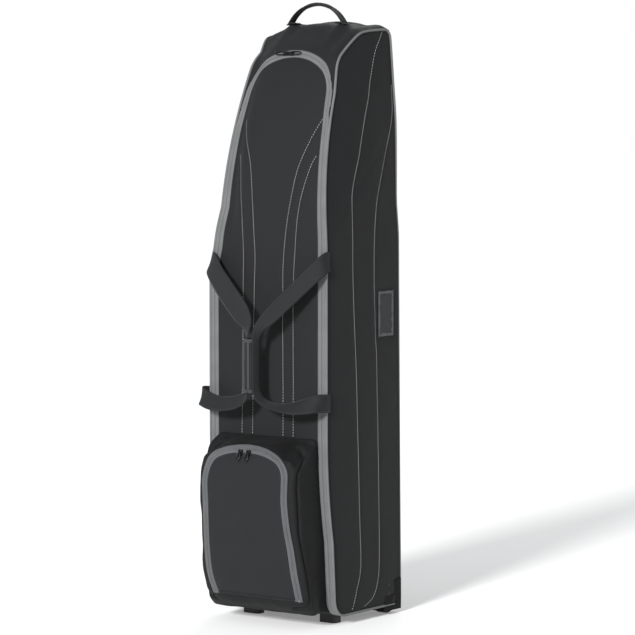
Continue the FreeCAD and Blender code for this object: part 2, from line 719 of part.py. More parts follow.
# ---------------------------------------------------------------- front pocket
def pocket_form(name, inset):
    """The outer form of the pocket drawn in by an inset: a bulging side view that narrows
    towards its face."""
    face = f"-[pocket_deep] + ({inset})"
    top = f"[pocket_top] - ({inset})"
    low = f"[pocket_low] + ({inset})"
    corners = [
        ("-[heel_place] + 6", low),
        ("-[heel_place] + 6", top),
        (f"{face} + 24", f"{top} - 6", f"24.8 - ({inset})", "left"),
        (f"{face} + 2", f"{top} - 30 + 0.3 * ({inset})"),
        (face, "300"),
        (f"{face} + 9", "130", f"110 - ({inset})", "left"),
        (f"{face} + 45", f"{low} + 4"),
    ]
    side = prism(f"{name}_side", outline(f"{name}_profile", "YZ", corners), "400", centred=True)
    sections = []
    spots = (("rear", "-[heel_place] + 6", "[pocket_half]", "[pocket_half]"),
             ("face", "-[pocket_deep]", "124", "103"))
    for label, lift, low_half, high_half in spots:
        foot = f"{low_half} - ({inset})"
        head = f"{high_half} - ({inset})"
        rim = f"25 - ({inset})"
        ring = [
            (foot, "20"),
            (head, f"{top} - ({rim})", rim, "left"),
            (f"{head} - ({rim})", top),
            (f"-({head}) + ({rim})", top, rim, "left"),
            (f"-({head})", f"{top} - ({rim})"),
            (f"-({foot})", "20"),
        ]
        sections.append(outline(f"{name}_{label}", "XZ", ring, lift))
    width = doc.addObject("Part::Loft", f"{name}_width")
    width.Sections = sections
    width.Solid = True
    width.Ruled = True
    return common(name, side, width)


def pocket_line(name, inset, low):
    """The front view of the pocket zip: two legs, rounded shoulders and a low arch."""
    corners = [
        (f"112 - ({inset})", low),
        (f"97 - ({inset})", "335", f"46 - ({inset})", "left"),
        (f"60 - 0.3 * ({inset})", f"371 - 0.95 * ({inset})", f"300 - ({inset})", "left"),
        (f"-60 + 0.3 * ({inset})", f"371 - 0.95 * ({inset})", f"46 - ({inset})", "left"),
        (f"-97 + ({inset})", "335"),
        (f"-112 + ({inset})", low),
    ]
    sketch = outline(f"{name}_outline", "XZ", corners, "-134")
    return prism(name, sketch, "60")


def pocket():
    """The pocket on the front: a soft box fixed to the door, and a zipped panel that folds down."""
    sheath = without("pocket_sheath", pocket_form("pocket_out", "0"),
                     pocket_form("pocket_in", "[wall]"), envelope("pocket_seat", "0"))
    opening = pocket_line("pocket_zip_out", "0", "[pocket_hinge]")
    low = "[pocket_hinge] + [running_gap]"
    middle_out = pocket_line("pocket_zip_mid", "[pocket_tape]", "[pocket_hinge]")
    middle_in = pocket_line("pocket_zip_mid_in", "[pocket_tape] + [zip_gap]", low)
    panel_line = pocket_line("pocket_panel_line", "2 * [pocket_tape] + [zip_gap]", low)
    node("pocket_shell", without("pocket_walls", sheath, opening))
    node("pocket_zip_tape_outer", without("pocket_tape_out", common("pocket_lid", sheath, opening),
                                          middle_out))
    node("pocket_zip_tape_inner", without("pocket_tape_in", common("pocket_mid", sheath, middle_in),
                                          panel_line))
    node("pocket_panel", common("pocket_face", sheath, panel_line))


# ---------------------------------------------------------------- zip sliders and pulls
def slider_and_pull(label, spot, lean, turn, reach):
    """A zip slider with a pierced bridge, and a pull on a cross pin, set on a leaning surface.

    Both are drawn with the tape surface at y = 0, outwards along -Y, and the pin along X. They
    are turned about Y to lie along the zip, and then leaned with the surface. The pull hangs
    down by its reach."""
    plate = block(f"{label}_plate", ("-5", "-4", "-7"), ("5", "-0.5", "6"))
    bridge = block(f"{label}_bridge", ("-1.5", "-8", "-4"), ("1.5", "-3.9", "4"))
    eye = rod(f"{label}_eye", ("-3", "-6", "0"), "1.4", "6")
    slider = without(f"{label}_slider", fused(f"{label}_body", plate, bridge), eye)
    tongue = block(f"{label}_tongue", ("-4.5", "-7", f"-({reach})"), ("4.5", "-5", "-5"))
    arms = [block(f"{label}_arm_{index}", (start, "-7", "-6"), (stop, "-5", "1.2"))
            for index, (start, stop) in enumerate((("-4.5", "-2.2"), ("2.2", "4.5")))]
    pin = rod(f"{label}_pin", ("-4", "-6", "0"), "0.9", "8")
    pull = fused(f"{label}_pull", tongue, pin, *arms)
    placed = []
    for kind, item in (("slider", slider), ("pull", pull)):
        item.Placement = Placement(Vector(0, 0, 0), Rotation(Vector(0, 1, 0), turn))
        leaned = together(f"{label}_{kind}_leaned", item)
        leaned.Placement = Placement(Vector(0, 0, 0), Rotation(Vector(1, 0, 0), 1))
        place(leaned, spot)
        leaned.setExpression("Placement.Rotation.Angle", sized(lean))
        placed.append(leaned)
    return placed


def zips():
    """Two sliders on the main zip near the top of the arch, and two on the pocket zip."""
    rise = "([slider_height] - [lean_start])"
    lean = f"-asin({rise} / [lean_radius])"
    depth = f"-[front] + [lean_radius] - sqrt([lean_radius] ^ 2 - {rise} ^ 2)"
    for side, across, turn in (("left", "-22", 90), ("right", "-8", -90)):
        slider, pull = slider_and_pull(f"main_{side}", (across, depth, "[slider_height]"), lean, turn, "28")
        node(f"main_slider_{side}", slider)
        node(f"main_pull_{side}", pull)
    rise = "([pocket_slider_height] - [pocket_brow_height])"
    lean = f"-asin({rise} / [pocket_brow_radius])"
    depth = f"-[pocket_brow_place] - sqrt([pocket_brow_radius] ^ 2 - {rise} ^ 2)"
    for side, across in (("left", "-14"), ("right", "7")):
        spot = (across, depth, "[pocket_slider_height]")
        slider, pull = slider_and_pull(f"pocket_{side}", spot, lean, 0, "20")
        node(f"pocket_slider_{side}", slider)
        node(f"pocket_pull_{side}", pull)


# ---------------------------------------------------------------- handles
def grab_handle_left():
    """The left webbing handle: a plan view strip, trimmed to the front view of its loop."""
    half = "[weave] / 2"
    bow = "21"
    hub_x = "-([strap_pivot] - 17.5)"
    hub_y = "-([strap_front] + 17.5)"
    corners = [
        (f"-[strap_pivot] - ({half})", "-[strap_front]"),
        (f"{hub_x} - {bow} - ({half})", hub_y, f"{bow} + {half}", "left"),
        (hub_x, f"{hub_y} - {bow} - ({half})"),
        ("-24", f"-[grip_front] - ({half})"),
        ("-1", f"-[grip_front] - ({half})"),
        ("-1", f"-[grip_front] + ({half})"),
        ("-24", f"-[grip_front] + ({half})"),
        (hub_x, f"{hub_y} - {bow} + ({half})", f"{bow} - {half}", "right"),
        (f"{hub_x} - {bow} + ({half})", hub_y),
        (f"-[strap_pivot] + ({half})", "-[strap_front]"),
    ]
    strip = prism("strap_plan", outline("strap_plan_outline", "XY", corners), "1000")
    loop = [
        ("-172", "778"), ("-172", "740"), ("-150", "737"), ("-15", "612"),
        ("-15", "481"), ("-60", "471"), ("-104", "476"), ("-150", "491"), ("-172", "491"),
        ("-172", "454"), ("-150", "454"), ("-104", "438"), ("-60", "433"), ("-1", "446"),
        ("-1", "645"), ("-15", "652"), ("-150", "778"),
    ]
    front_view = prism("strap_view", outline("strap_view_outline", "XZ", loop, "-50"), "200")
    return common("grab_handle_left", strip, front_view)


def handles():
    """Both grab handles, the pad and flap that join them, their patches and the top handle."""
    left = node("handle_webbing_left", grab_handle_left())
    node("handle_webbing_right", mirrored("grab_handle_right", left))
    pad = block("pad_block", ("-19", "-[grip_front] - 7", "[grip_low]"),
                ("-0.5", "-[grip_front] + 7", "[grip_high]"))
    slot = block("pad_slot", ("-15", "-[grip_front] - [weave] / 2", "[grip_low] - 10"),
                 ("1", "-[grip_front] + [weave] / 2", "[grip_high] + 10"))
    node("grip_pad", without("pad", pad, slot))
    flap_face = block("flap_face", ("-19.3", "-[grip_front] - 10.3", "[grip_low]"),
                      ("19", "-[grip_front] - 7.3", "[grip_high]"))
    flap_lining = block("flap_lining", ("0.5", "-[grip_front] - 7.4", "[grip_low]"),
                        ("17", "-[grip_front] - 2.2", "[grip_high]"))
    node("grip_flap", fused("flap", flap_face, flap_lining))
    patches = []
    for name, low, high in (("high", "734", "782"), ("low", "450", "496")):
        patch = block(f"patch_{name}", ("[half_width]", "-[front] + 3", low),
                      ("[half_width] + 1.6", "-[front] + 11", high))
        patches += [patch, mirrored(f"patch_left_{name}", patch)]
    node("handle_patches", together("handle_patches", *patches))


def loop_band(name, thick_in, thick_out, half, wide):
    """An arched band of the top handle between two offsets from the webbing's inner face."""
    centre = "[loop_foot] + 32 - [loop_radius]"
    inner = f"([loop_radius] + ({thick_in}))"
    outer = f"([loop_radius] + ({thick_out}))"
    inner_up = f"{centre} + sqrt({inner} ^ 2 - ({half}) ^ 2)"
    outer_up = f"{centre} + sqrt({outer} ^ 2 - ({half}) ^ 2)"
    corners = [
        (half, inner_up),
        (half, outer_up, outer, "left"),
        (f"-({half})", outer_up),
        (f"-({half})", inner_up, inner, "right"),
    ]
    sketch = outline(f"{name}_outline", "XZ", corners, f"[loop_place] + ({wide}) / 2")
    return prism(name, sketch, wide)


def top_handle(gusset):
    """The webbing loop on the crown with its padded sleeve, and the sewn tabs under its ends."""
    band = loop_band("loop_whole", "0", "[weave]", "[loop_half]", "[loop_wide]")
    half = "[loop_wide] / 2"
    side_view_corners = [
        (f"[loop_place] + {half}", "[loop_pivot]"),
        (f"[loop_place] + {half}", "1320"),
        (f"[loop_place] - {half}", "1320"),
        (f"[loop_place] - {half}", "[loop_pivot]", f"{half} + 0.4", "left"),
    ]
    rounding = prism("loop_rounding", outline("loop_rounding_outline", "YZ", side_view_corners),
                     "200", centred=True)
    node("top_handle_webbing", common("loop_webbing", band, rounding))
    sleeve = loop_band("sleeve_whole", "-3", "[weave] + 2.5", "36", "[loop_wide] + 6")
    node("top_handle_sleeve", without("sleeve", sleeve, band))
    tab = block("tab_block", ("[loop_half] - 12", f"[loop_place] - {half}", "1257"),
                ("[loop_half] + 10", f"[loop_place] + {half}", "[loop_pivot] - 9"))
    trimmed = without("tab", tab, gusset)
    node("top_handle_tabs", together("top_handle_tabs", trimmed, mirrored("tab_left", trimmed)))


# ---------------------------------------------------------------- identity window
def identity_window():
    """A clear window in a welded frame on the right side panel, with a card behind it."""
    side = "[half_width]"
    spot_low = ("90", "599")
    spot_high = ("145", "695")
    frame = block("frame_block", (side, *spot_low), (f"{side} + 1.6", *spot_high))
    hole = block("frame_hole", (f"{side} - 1", "96", "605"), (f"{side} + 3", "139", "689"))
    node("id_frame", without("frame", frame, hole))
    node("id_card", block("card", (side, "97", "606"), (f"{side} + 0.5", "138", "688")))
    node("id_window", block("window", (f"{side} + 0.5", "96", "605"), (f"{side} + 1.1", "139", "689")))


wheels_and_housings()
gusset_piece = fabric_shell()
base_and_boards()
inner_straps()
pocket()
zips()
handles()
top_handle(gusset_piece)
identity_window()


# ---------------------------------------------------------------- checks and files
def write_parts():
    """Recompute, make sure that nothing failed, and write one file for each sub-part."""
    doc.recompute()
    for item in doc.Objects:
        for word in ("Invalid", "Error"):
            if word in item.State:
                raise RuntimeError(f"{item.Label} is {word}")
    os.makedirs("parts", exist_ok=True)
    for item in nodes:
        if item.Shape.isNull() or not item.Shape.isValid() or not item.Shape.Solids:
            raise RuntimeError(f"{item.Label} has no valid solid")
        item.Shape.exportStep(f"parts/{item.Label}.step")
        box = item.Shape.BoundBox
        print(f"{item.Label:26s} solids {len(item.Shape.Solids)} volume {item.Shape.Volume:10.0f} "
              f"x {box.XMin:7.1f} {box.XMax:7.1f} y {box.YMin:7.1f} {box.YMax:7.1f} "
              f"z {box.ZMin:7.1f} {box.ZMax:7.1f}")


write_parts()
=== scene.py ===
"""Looks of the golf travel case: cloth panels, zips, stitching, webbing, pocket and wheels.

Shapes are worked out in millimetres in the row frame and turned into metres when a mesh is made.
"""
import json
import math

import bpy
import numpy as np
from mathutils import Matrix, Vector
from mathutils.bvhtree import BVHTree


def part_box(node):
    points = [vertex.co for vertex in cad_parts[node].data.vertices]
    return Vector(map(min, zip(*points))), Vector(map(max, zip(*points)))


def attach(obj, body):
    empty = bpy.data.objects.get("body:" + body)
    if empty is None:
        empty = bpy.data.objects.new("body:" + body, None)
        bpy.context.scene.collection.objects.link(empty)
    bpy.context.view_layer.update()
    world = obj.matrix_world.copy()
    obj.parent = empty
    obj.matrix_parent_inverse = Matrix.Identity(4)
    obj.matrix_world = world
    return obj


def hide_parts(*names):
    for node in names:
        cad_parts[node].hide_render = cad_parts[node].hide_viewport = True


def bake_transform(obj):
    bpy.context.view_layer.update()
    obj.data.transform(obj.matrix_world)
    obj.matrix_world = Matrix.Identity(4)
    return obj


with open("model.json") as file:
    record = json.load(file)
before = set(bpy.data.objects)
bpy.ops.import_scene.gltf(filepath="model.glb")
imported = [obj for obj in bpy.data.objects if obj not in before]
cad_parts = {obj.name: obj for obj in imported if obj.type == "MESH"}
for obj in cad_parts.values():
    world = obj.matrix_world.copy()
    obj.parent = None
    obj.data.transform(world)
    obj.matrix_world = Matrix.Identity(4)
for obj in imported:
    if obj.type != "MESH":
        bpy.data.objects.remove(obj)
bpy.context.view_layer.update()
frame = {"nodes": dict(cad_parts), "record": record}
nodes = frame["nodes"]
MM = 0.001

# ---------------------------------------------------------------- sizes read from the frame
def node_box(name):
    """Lowest and highest corner of a CAD node in millimetres."""
    low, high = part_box(name)
    return np.array(low) / MM, np.array(high) / MM


WALL = 3.0
HALF_WIDTH = node_box("right_side_panel")[1][0]
FRONT, BASE = node_box("front_door_lower")[0][1:]
CROWN = node_box("top_gusset")[1][2]
BACK_LOW, BACK_HIGH = node_box("back_panel")
BACK = BACK_HIGH[1]
ZIP_APEX = node_box("main_zip_tape_outer")[1][2]
POCKET_TOP = node_box("pocket_shell")[1][2]

# The same curves as the design: the leaning front, the tapered sides and the domed top.
LEAN_START = 813.0
LEAN_RADIUS = 805.0
TAPER = 0.085
CREASE_SLOPE = 0.96
CROWN_RADIUS = 328.0
BROW_RADIUS = 490.0
BROW_SLOPE = 0.74
BROW_PLACE = 7.0
BACK_LEAN = (BACK - BACK_LOW[1] - WALL) / (BACK_HIGH[2] - BASE)
BELLY, BELLY_RADIUS, BELLY_LOW = 400.0, 1163.0, 180.0
HEEL, HEEL_PLACE, HEEL_RADIUS, TOE_PLACE = 60.0, 66.0, 36.0, 36.0
PIPING_RADIUS, PIPING_PROUD = 2.6, 0.6

# Thicknesses of the soft pieces.
CLOTH, POCKET_CLOTH = 2.2, 1.8
TAPE_THICKNESS, WEBBING_THICKNESS = 0.9, 2.4
WEBBING_WIDTH = 38.0

# How far the shown case lies off the design near its top: its left front edge further in and
# back, its right edge further in, and its right shoulder higher.
SUNK_IN, SUNK_BACK = 13.0, 15.0
SUNK_HEIGHTS, SUNK_SHARES = [745, 786, 827, 872, 1200, 1242], [0, 0.42, 0.66, 1, 1, 0]
DRAWN_REAR, DRAWN_FRONT = 5.0, 10.0
RAISED, RAISED_REAR = 8.0, 6.0


def distances(points):
    """Distance of each point from the first, along a polyline."""
    steps = np.linalg.norm(np.diff(np.asarray(points, float), axis=0), axis=1)
    return np.concatenate([[0], np.cumsum(steps)])


def foot_profile():
    """The front below the belly line, drawn back to the heel and rounded under to the base."""
    angles = np.linspace(0, math.asin((BELLY - BELLY_LOW) / BELLY_RADIUS), 40)
    curve = np.stack([FRONT + BELLY_RADIUS * (1 - np.cos(angles)),
                      BELLY - BELLY_RADIUS * np.sin(angles)], 1)
    heel = arc_points((-TOE_PLACE, BASE), (-HEEL_PLACE, HEEL), HEEL_RADIUS, hand=-1)[::-1]
    return np.vstack([curve, np.linspace(curve[-1], heel[0], 20)[1:], heel[1:]])


def arc_points(first, last, radius, count=24, hand=1):
    """Points on the short arc of a radius between two (across, up) points. The hand is -1 where
    the centre is on the right of the way."""
    first, last = np.array(first, float), np.array(last, float)
    middle, along = (first + last) / 2, last - first
    reach = math.sqrt(max(radius ** 2 - along @ along / 4, 0))
    side = np.array([-along[1], along[0]]) / np.linalg.norm(along)
    centre = middle + side * reach * hand
    start = math.atan2(*(first - centre)[::-1])
    stop = math.atan2(*(last - centre)[::-1])
    turn = (stop - start + math.pi) % (2 * math.pi) - math.pi
    angles = start + np.linspace(0, 1, count) * turn
    return centre + radius * np.stack([np.cos(angles), np.sin(angles)], 1)


FOOT = foot_profile()
FOOT_DOWN = BELLY - distances(FOOT)
FOOT_TURN = np.arctan2(np.gradient(FOOT[:, 0]), -np.gradient(FOOT[:, 1]))
LOWEST = FOOT_DOWN[-1]


def front_at(z):
    """Front face: distance along Y at a height."""
    z = np.asarray(z, float)
    rise = np.clip(z - LEAN_START, 0, LEAN_RADIUS * 0.7)
    leaning = FRONT + LEAN_RADIUS - np.sqrt(LEAN_RADIUS ** 2 - rise ** 2)
    return np.where(z < BELLY, np.interp(z, FOOT[::-1, 1], FOOT[::-1, 0]), leaning)


def front_tilt(z):
    """Angle by which the front leans back at a place on it; it is negative near the foot."""
    z = np.asarray(z, float)
    low = np.interp(z, FOOT_DOWN[::-1], -FOOT_TURN[::-1])
    return np.where(z < BELLY, low, np.arcsin(np.clip(z - LEAN_START, 0, None) / LEAN_RADIUS))


def back_at(z):
    """Back panel: distance along Y at a height."""
    return BACK - BACK_LEAN * (np.asarray(z, float) - BASE)


def soft_above(value, softness):
    """A smooth version of max(value, 0)."""
    return (value + np.sqrt(value ** 2 + softness ** 2)) / 2


def half_at(y, z):
    """Half of the width at a place on the side panels."""
    above = np.asarray(z, float) - LEAN_START - CREASE_SLOPE * (np.asarray(y, float) - FRONT)
    return HALF_WIDTH - TAPER * soft_above(above, 30.0)


def crown_at(x, y):
    """Height of the domed top with the brow that slopes down to the front zip."""
    x = np.clip(np.asarray(x, float), -170, 170)
    dome = CROWN - (CROWN_RADIUS - np.sqrt(CROWN_RADIUS ** 2 - x ** 2))
    brow = ZIP_APEX + BROW_SLOPE * (np.asarray(y, float) - BROW_PLACE)
    brow = brow - (BROW_RADIUS - np.sqrt(BROW_RADIUS ** 2 - x ** 2))
    return dome - soft_above(dome - brow, 12.0)


# ---------------------------------------------------------------- mesh helpers
def waves(a, b, size, seed, count=7):
    """Smooth cloth-like unevenness from -1 to 1: a seeded sum of sine waves of about one size."""
    rng = np.random.default_rng(seed)
    total = np.zeros(np.broadcast(a, b).shape)
    for _ in range(count):
        angle = rng.uniform(0, math.pi)
        length = size * rng.uniform(0.7, 1.6)
        phase = rng.uniform(0, 2 * math.pi)
        along = a * math.cos(angle) + b * math.sin(angle)
        total = total + np.sin(along * 2 * math.pi / length + phase)
    return total / count * 1.6


def bump(distance, width):
    """A bell-shaped ridge across a distance."""
    return np.exp(-(np.asarray(distance) / width) ** 2)


def resample(points, count):
    """Points at equal distances along a polyline."""
    points = np.asarray(points, float)
    along = distances(points)
    wanted = np.linspace(0, along[-1], count)
    return np.stack([np.interp(wanted, along, points[:, k]) for k in range(points.shape[1])], 1)


def length_of(points):
    """Length of a polyline."""
    return float(np.linalg.norm(np.diff(np.asarray(points, float), axis=0), axis=1).sum())


def smooth_path(points, count, passes=0):
    """A Catmull-Rom curve through points, at equal steps."""
    points = np.asarray(points, float)
    padded = np.vstack([2 * points[0] - points[1], points, 2 * points[-1] - points[-2]])
    fine = []
    for index in range(1, len(padded) - 2):
        before, here, there, after = padded[index - 1:index + 3]
        for t in np.linspace(0, 1, 24, endpoint=False):
            fine.append(0.5 * (2 * here + (there - before) * t
                               + (2 * before - 5 * here + 4 * there - after) * t ** 2
                               + (3 * here - before - 3 * there + after) * t ** 3))
    fine.append(points[-1])
    path = resample(fine, count)
    for _ in range(passes):
        path[1:-1] = (path[:-2] + 2 * path[1:-1] + path[2:]) / 4
    return path


def tangents(path, closed=False):
    """Unit directions along a path."""
    path = np.asarray(path, float)
    if closed:
        change = np.roll(path, -1, 0) - np.roll(path, 1, 0)
    else:
        change = np.gradient(path, axis=0)
    return change / np.maximum(np.linalg.norm(change, axis=1, keepdims=True), 1e-9)


def unit(vectors):
    """Vectors scaled to length 1."""
    vectors = np.asarray(vectors, float)
    return vectors / np.maximum(np.linalg.norm(vectors, axis=-1, keepdims=True), 1e-9)


def grid_faces(rows, columns, wrap_rows=False, wrap_columns=False, start=0):
    """Quads of a grid of points, row by row."""
    faces = []
    for row in range(rows if wrap_rows else rows - 1):
        below = start + row * columns
        above = start + ((row + 1) % rows) * columns
        for column in range(columns if wrap_columns else columns - 1):
            beside = (column + 1) % columns
            faces.append((below + column, below + beside, above + beside, above + column))
    return faces


def end_faces(rows, columns, start=0):
    """Faces that close the first and the last ring of a tube."""
    last = start + (rows - 1) * columns
    return [tuple(range(start, start + columns))[::-1], tuple(range(last, last + columns))]


def ramp(value, low, high):
    """Rises smoothly from 0 to 1 between two values."""
    share = np.clip((value - low) / (high - low), 0, 1)
    return share * share * (3 - 2 * share)


def settled(points):
    """Where points of the design lie on the shown case, which is less even near its top."""
    x, y, z = np.asarray(points, float).T
    across = np.exp(-(np.clip(x + 122, 0, None) / 38) ** 2)
    behind = np.exp(-(np.clip(y - front_at(z) - 5, 0, None) / 85) ** 2)
    sunk = across * behind * np.interp(z, SUNK_HEIGHTS, SUNK_SHARES)
    back = ramp(y, 60, 150)
    soft_width = 14 + 40 * ramp(z, 1111, 1190)
    near_side = ramp(x - half_at(y, z), -soft_width, -2)
    drawn = (DRAWN_REAR * back * ramp(z, 800, 900) * ramp(x, 45, 112)
             + DRAWN_FRONT * (1 - back) * ramp(z, 1100, 1185) * near_side)
    raised = (RAISED + RAISED_REAR * back) * ramp(z, 1130, 1205) * ramp(x, 72, 124)
    return np.stack([x + SUNK_IN * sunk - drawn, y + SUNK_BACK * sunk, z + raised], 1)


def set_weave(mesh, uvs):
    """Give a mesh its weave directions, one pair of millimetres for each vertex."""
    corners = np.zeros(len(mesh.loops), np.int32)
    mesh.loops.foreach_get("vertex_index", corners)
    values = (np.asarray(uvs, float)[corners] * MM).astype(np.float32).ravel()
    mesh.uv_layers["weave"].data.foreach_set("uv", values)


def new_object(name, vertices, faces, material, uvs=None):
    """A mesh object from millimetre points. uvs are in millimetres, one for each vertex."""
    mesh = bpy.data.meshes.new(name)
    mesh.from_pydata((settled(vertices) * MM).tolist(), [], faces)
    if uvs is not None:
        mesh.uv_layers.new(name="weave")
        set_weave(mesh, uvs)
    mesh.polygons.foreach_set("use_smooth", np.full(len(mesh.polygons), True))
    mesh.materials.append(material)
    mesh.validate()
    item = bpy.data.objects.new(name, mesh)
    bpy.context.scene.collection.objects.link(item)
    return item


def grid_normals(points):
    """Unit normals of a grid of points."""
    across = np.gradient(points, axis=1)
    up = np.gradient(points, axis=0)
    return unit(np.cross(across, up))


def cloth_panel(name, points, thickness, material, inner=None):
    """A closed sheet of cloth from a grid of its outer points, or a pad between two grids."""
    rows, columns = points.shape[:2]
    if inner is None:
        inner = points - grid_normals(points) * thickness
    along = np.concatenate([np.zeros((1, columns)), np.cumsum(
        np.linalg.norm(np.diff(points, axis=0), axis=2), axis=0)])
    across = np.concatenate([np.zeros((rows, 1)), np.cumsum(
        np.linalg.norm(np.diff(points, axis=1), axis=2), axis=1)], axis=1)
    count = rows * columns
    faces = grid_faces(rows, columns)
    faces += [tuple(index + count for index in face[::-1]) for face in faces]
    rim = list(range(columns)) + [row * columns + columns - 1 for row in range(1, rows)]
    rim += [(rows - 1) * columns + column for column in range(columns - 2, -1, -1)]
    rim += [row * columns for row in range(rows - 2, 0, -1)]
    for here, there in zip(rim, rim[1:] + rim[:1]):
        faces.append((there, here, here + count, there + count))
    uv = np.stack([across.ravel(), along.ravel()], 1)
    vertices = np.vstack([points.reshape(-1, 3), inner.reshape(-1, 3)])
    return new_object(name, vertices, faces, material, np.vstack([uv, uv]))


def swept(name, path, sides, normals, profile, material, closed=False):
    """A cross-section drawn along a path. The profile holds (sideways, outwards) points."""
    path = np.asarray(path, float)
    profile = np.asarray(profile, float)
    if profile.ndim == 2:
        profile = np.broadcast_to(profile, (len(path),) + profile.shape)
    rings = (path[:, None, :] + sides[:, None, :] * profile[:, :, :1]
             + normals[:, None, :] * profile[:, :, 1:])
    rows, columns = rings.shape[:2]
    faces = grid_faces(rows, columns, wrap_rows=closed, wrap_columns=True)
    if not closed:
        faces += end_faces(rows, columns)
    uv = np.stack([profile[:, :, 0], np.repeat(distances(path)[:, None], columns, 1)], 2)
    return new_object(name, rings.reshape(-1, 3), faces, material, uv.reshape(-1, 2))


def flat_profile(width, thickness):
    """Cross-section of webbing or tape: a flat band with rounded edges."""
    half, edge = width / 2, thickness / 2
    inset = min(edge * 0.9, half * 0.4)
    right = [(half - inset, -edge), (half - 0.25 * inset, -0.7 * edge), (half, 0),
             (half - 0.25 * inset, 0.7 * edge), (half - inset, edge)]
    middle = [(half * 0.5, edge), (0, edge), (-half * 0.5, edge)]
    left = [(-across, -up) for across, up in right]
    under = [(-across, -up) for across, up in middle]
    return right + middle + left + under


def round_profile(radius, count=12, flatten=1.0):
    """A round or oval cross-section."""
    turns = np.linspace(0, 2 * math.pi, count, endpoint=False)
    return np.stack([np.cos(turns) * radius, np.sin(turns) * radius * flatten], 1)


def tube(name, path, radius, material, closed=False, count=10, guide=(0.3, 0.2, 0.93)):
    """A round cord along a path."""
    direction = tangents(path, closed)
    sides = unit(np.cross(direction, np.asarray(guide, float)))
    normals = np.cross(sides, direction)
    return swept(name, path, sides, normals, round_profile(radius, count), material, closed)


def coons(bottom, top, left, right):
    """A grid that fills four edges. Bottom and top run across, left and right run up."""
    rows, columns = len(left), len(bottom)
    u = np.linspace(0, 1, columns)[None, :, None]
    v = np.linspace(0, 1, rows)[:, None, None]
    ruled_up = (1 - v) * bottom[None] + v * top[None]
    ruled_across = (1 - u) * left[:, None] + u * right[:, None]
    corners = ((1 - u) * (1 - v) * bottom[0] + u * (1 - v) * bottom[-1]
               + (1 - u) * v * top[0] + u * v * top[-1])
    return ruled_up + ruled_across - corners


def edge_distance(points, edge):
    """Distance of each grid point from a polyline, in the plane."""
    flat = points.reshape(-1, 2)
    best = np.full(len(flat), 1e9)
    for start in range(0, len(edge), 40):
        part = edge[start:start + 40]
        gap = np.linalg.norm(flat[:, None] - part[None], axis=2).min(1)
        best = np.minimum(best, gap)
    return best.reshape(points.shape[:2])


def finish(item, replaced):
    """Hide the CAD nodes that a piece stands for."""
    if replaced:
        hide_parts(*replaced)
    return item


def put(item, body, slot=None, *replaced):
    """Let a piece ride on a body."""
    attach(item, body)
    return finish(item, replaced)


def bend(item, slot=None, *replaced):
    """Bake a piece's placement into its mesh and hide the CAD nodes it stands for."""
    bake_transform(item)
    return finish(item, replaced)


def soft_max(gaps, soft):
    """The largest of some gaps, blended smoothly where two are close."""
    return soft * np.log(sum(np.exp(np.clip(gap / soft, -60, 60)) for gap in gaps))


def push_onto(points, centre, outside, far):
    """Move points along rays from inner points onto the surface where a gap function is zero."""
    ray = points - centre
    low, high = np.full(points.shape[:-1], 0.3), np.full(points.shape[:-1], far)
    for _ in range(34):
        middle = (low + high) / 2
        inside = outside(centre + ray * middle[..., None]) < 0
        low = np.where(inside, middle, low)
        high = np.where(inside, high, middle)
    return centre + ray * ((low + high) / 2)[..., None]


class Surface:
    """A finished outer surface that details are laid on."""

    def __init__(self, points):
        rows, columns = points.shape[:2]
        faces = grid_faces(rows, columns)
        self.tree = BVHTree.FromPolygons(points.reshape(-1, 3).tolist(), faces)

    def drop(self, points, direction):
        """Where rays from far outside meet the surface, with normals that face the ray."""
        direction = Vector(direction)
        places, normals = [], []
        for point in np.asarray(points, float):
            start = Vector(point) - direction * 500
            spot, normal = self.tree.ray_cast(start, direction)[:2]
            if spot is None:
                spot, normal = self.tree.find_nearest(Vector(point))[:2]
            if normal.dot(direction) > 0:
                normal = -normal
            places.append(spot)
            normals.append(normal)
        return np.array(places, float), np.array(normals, float)


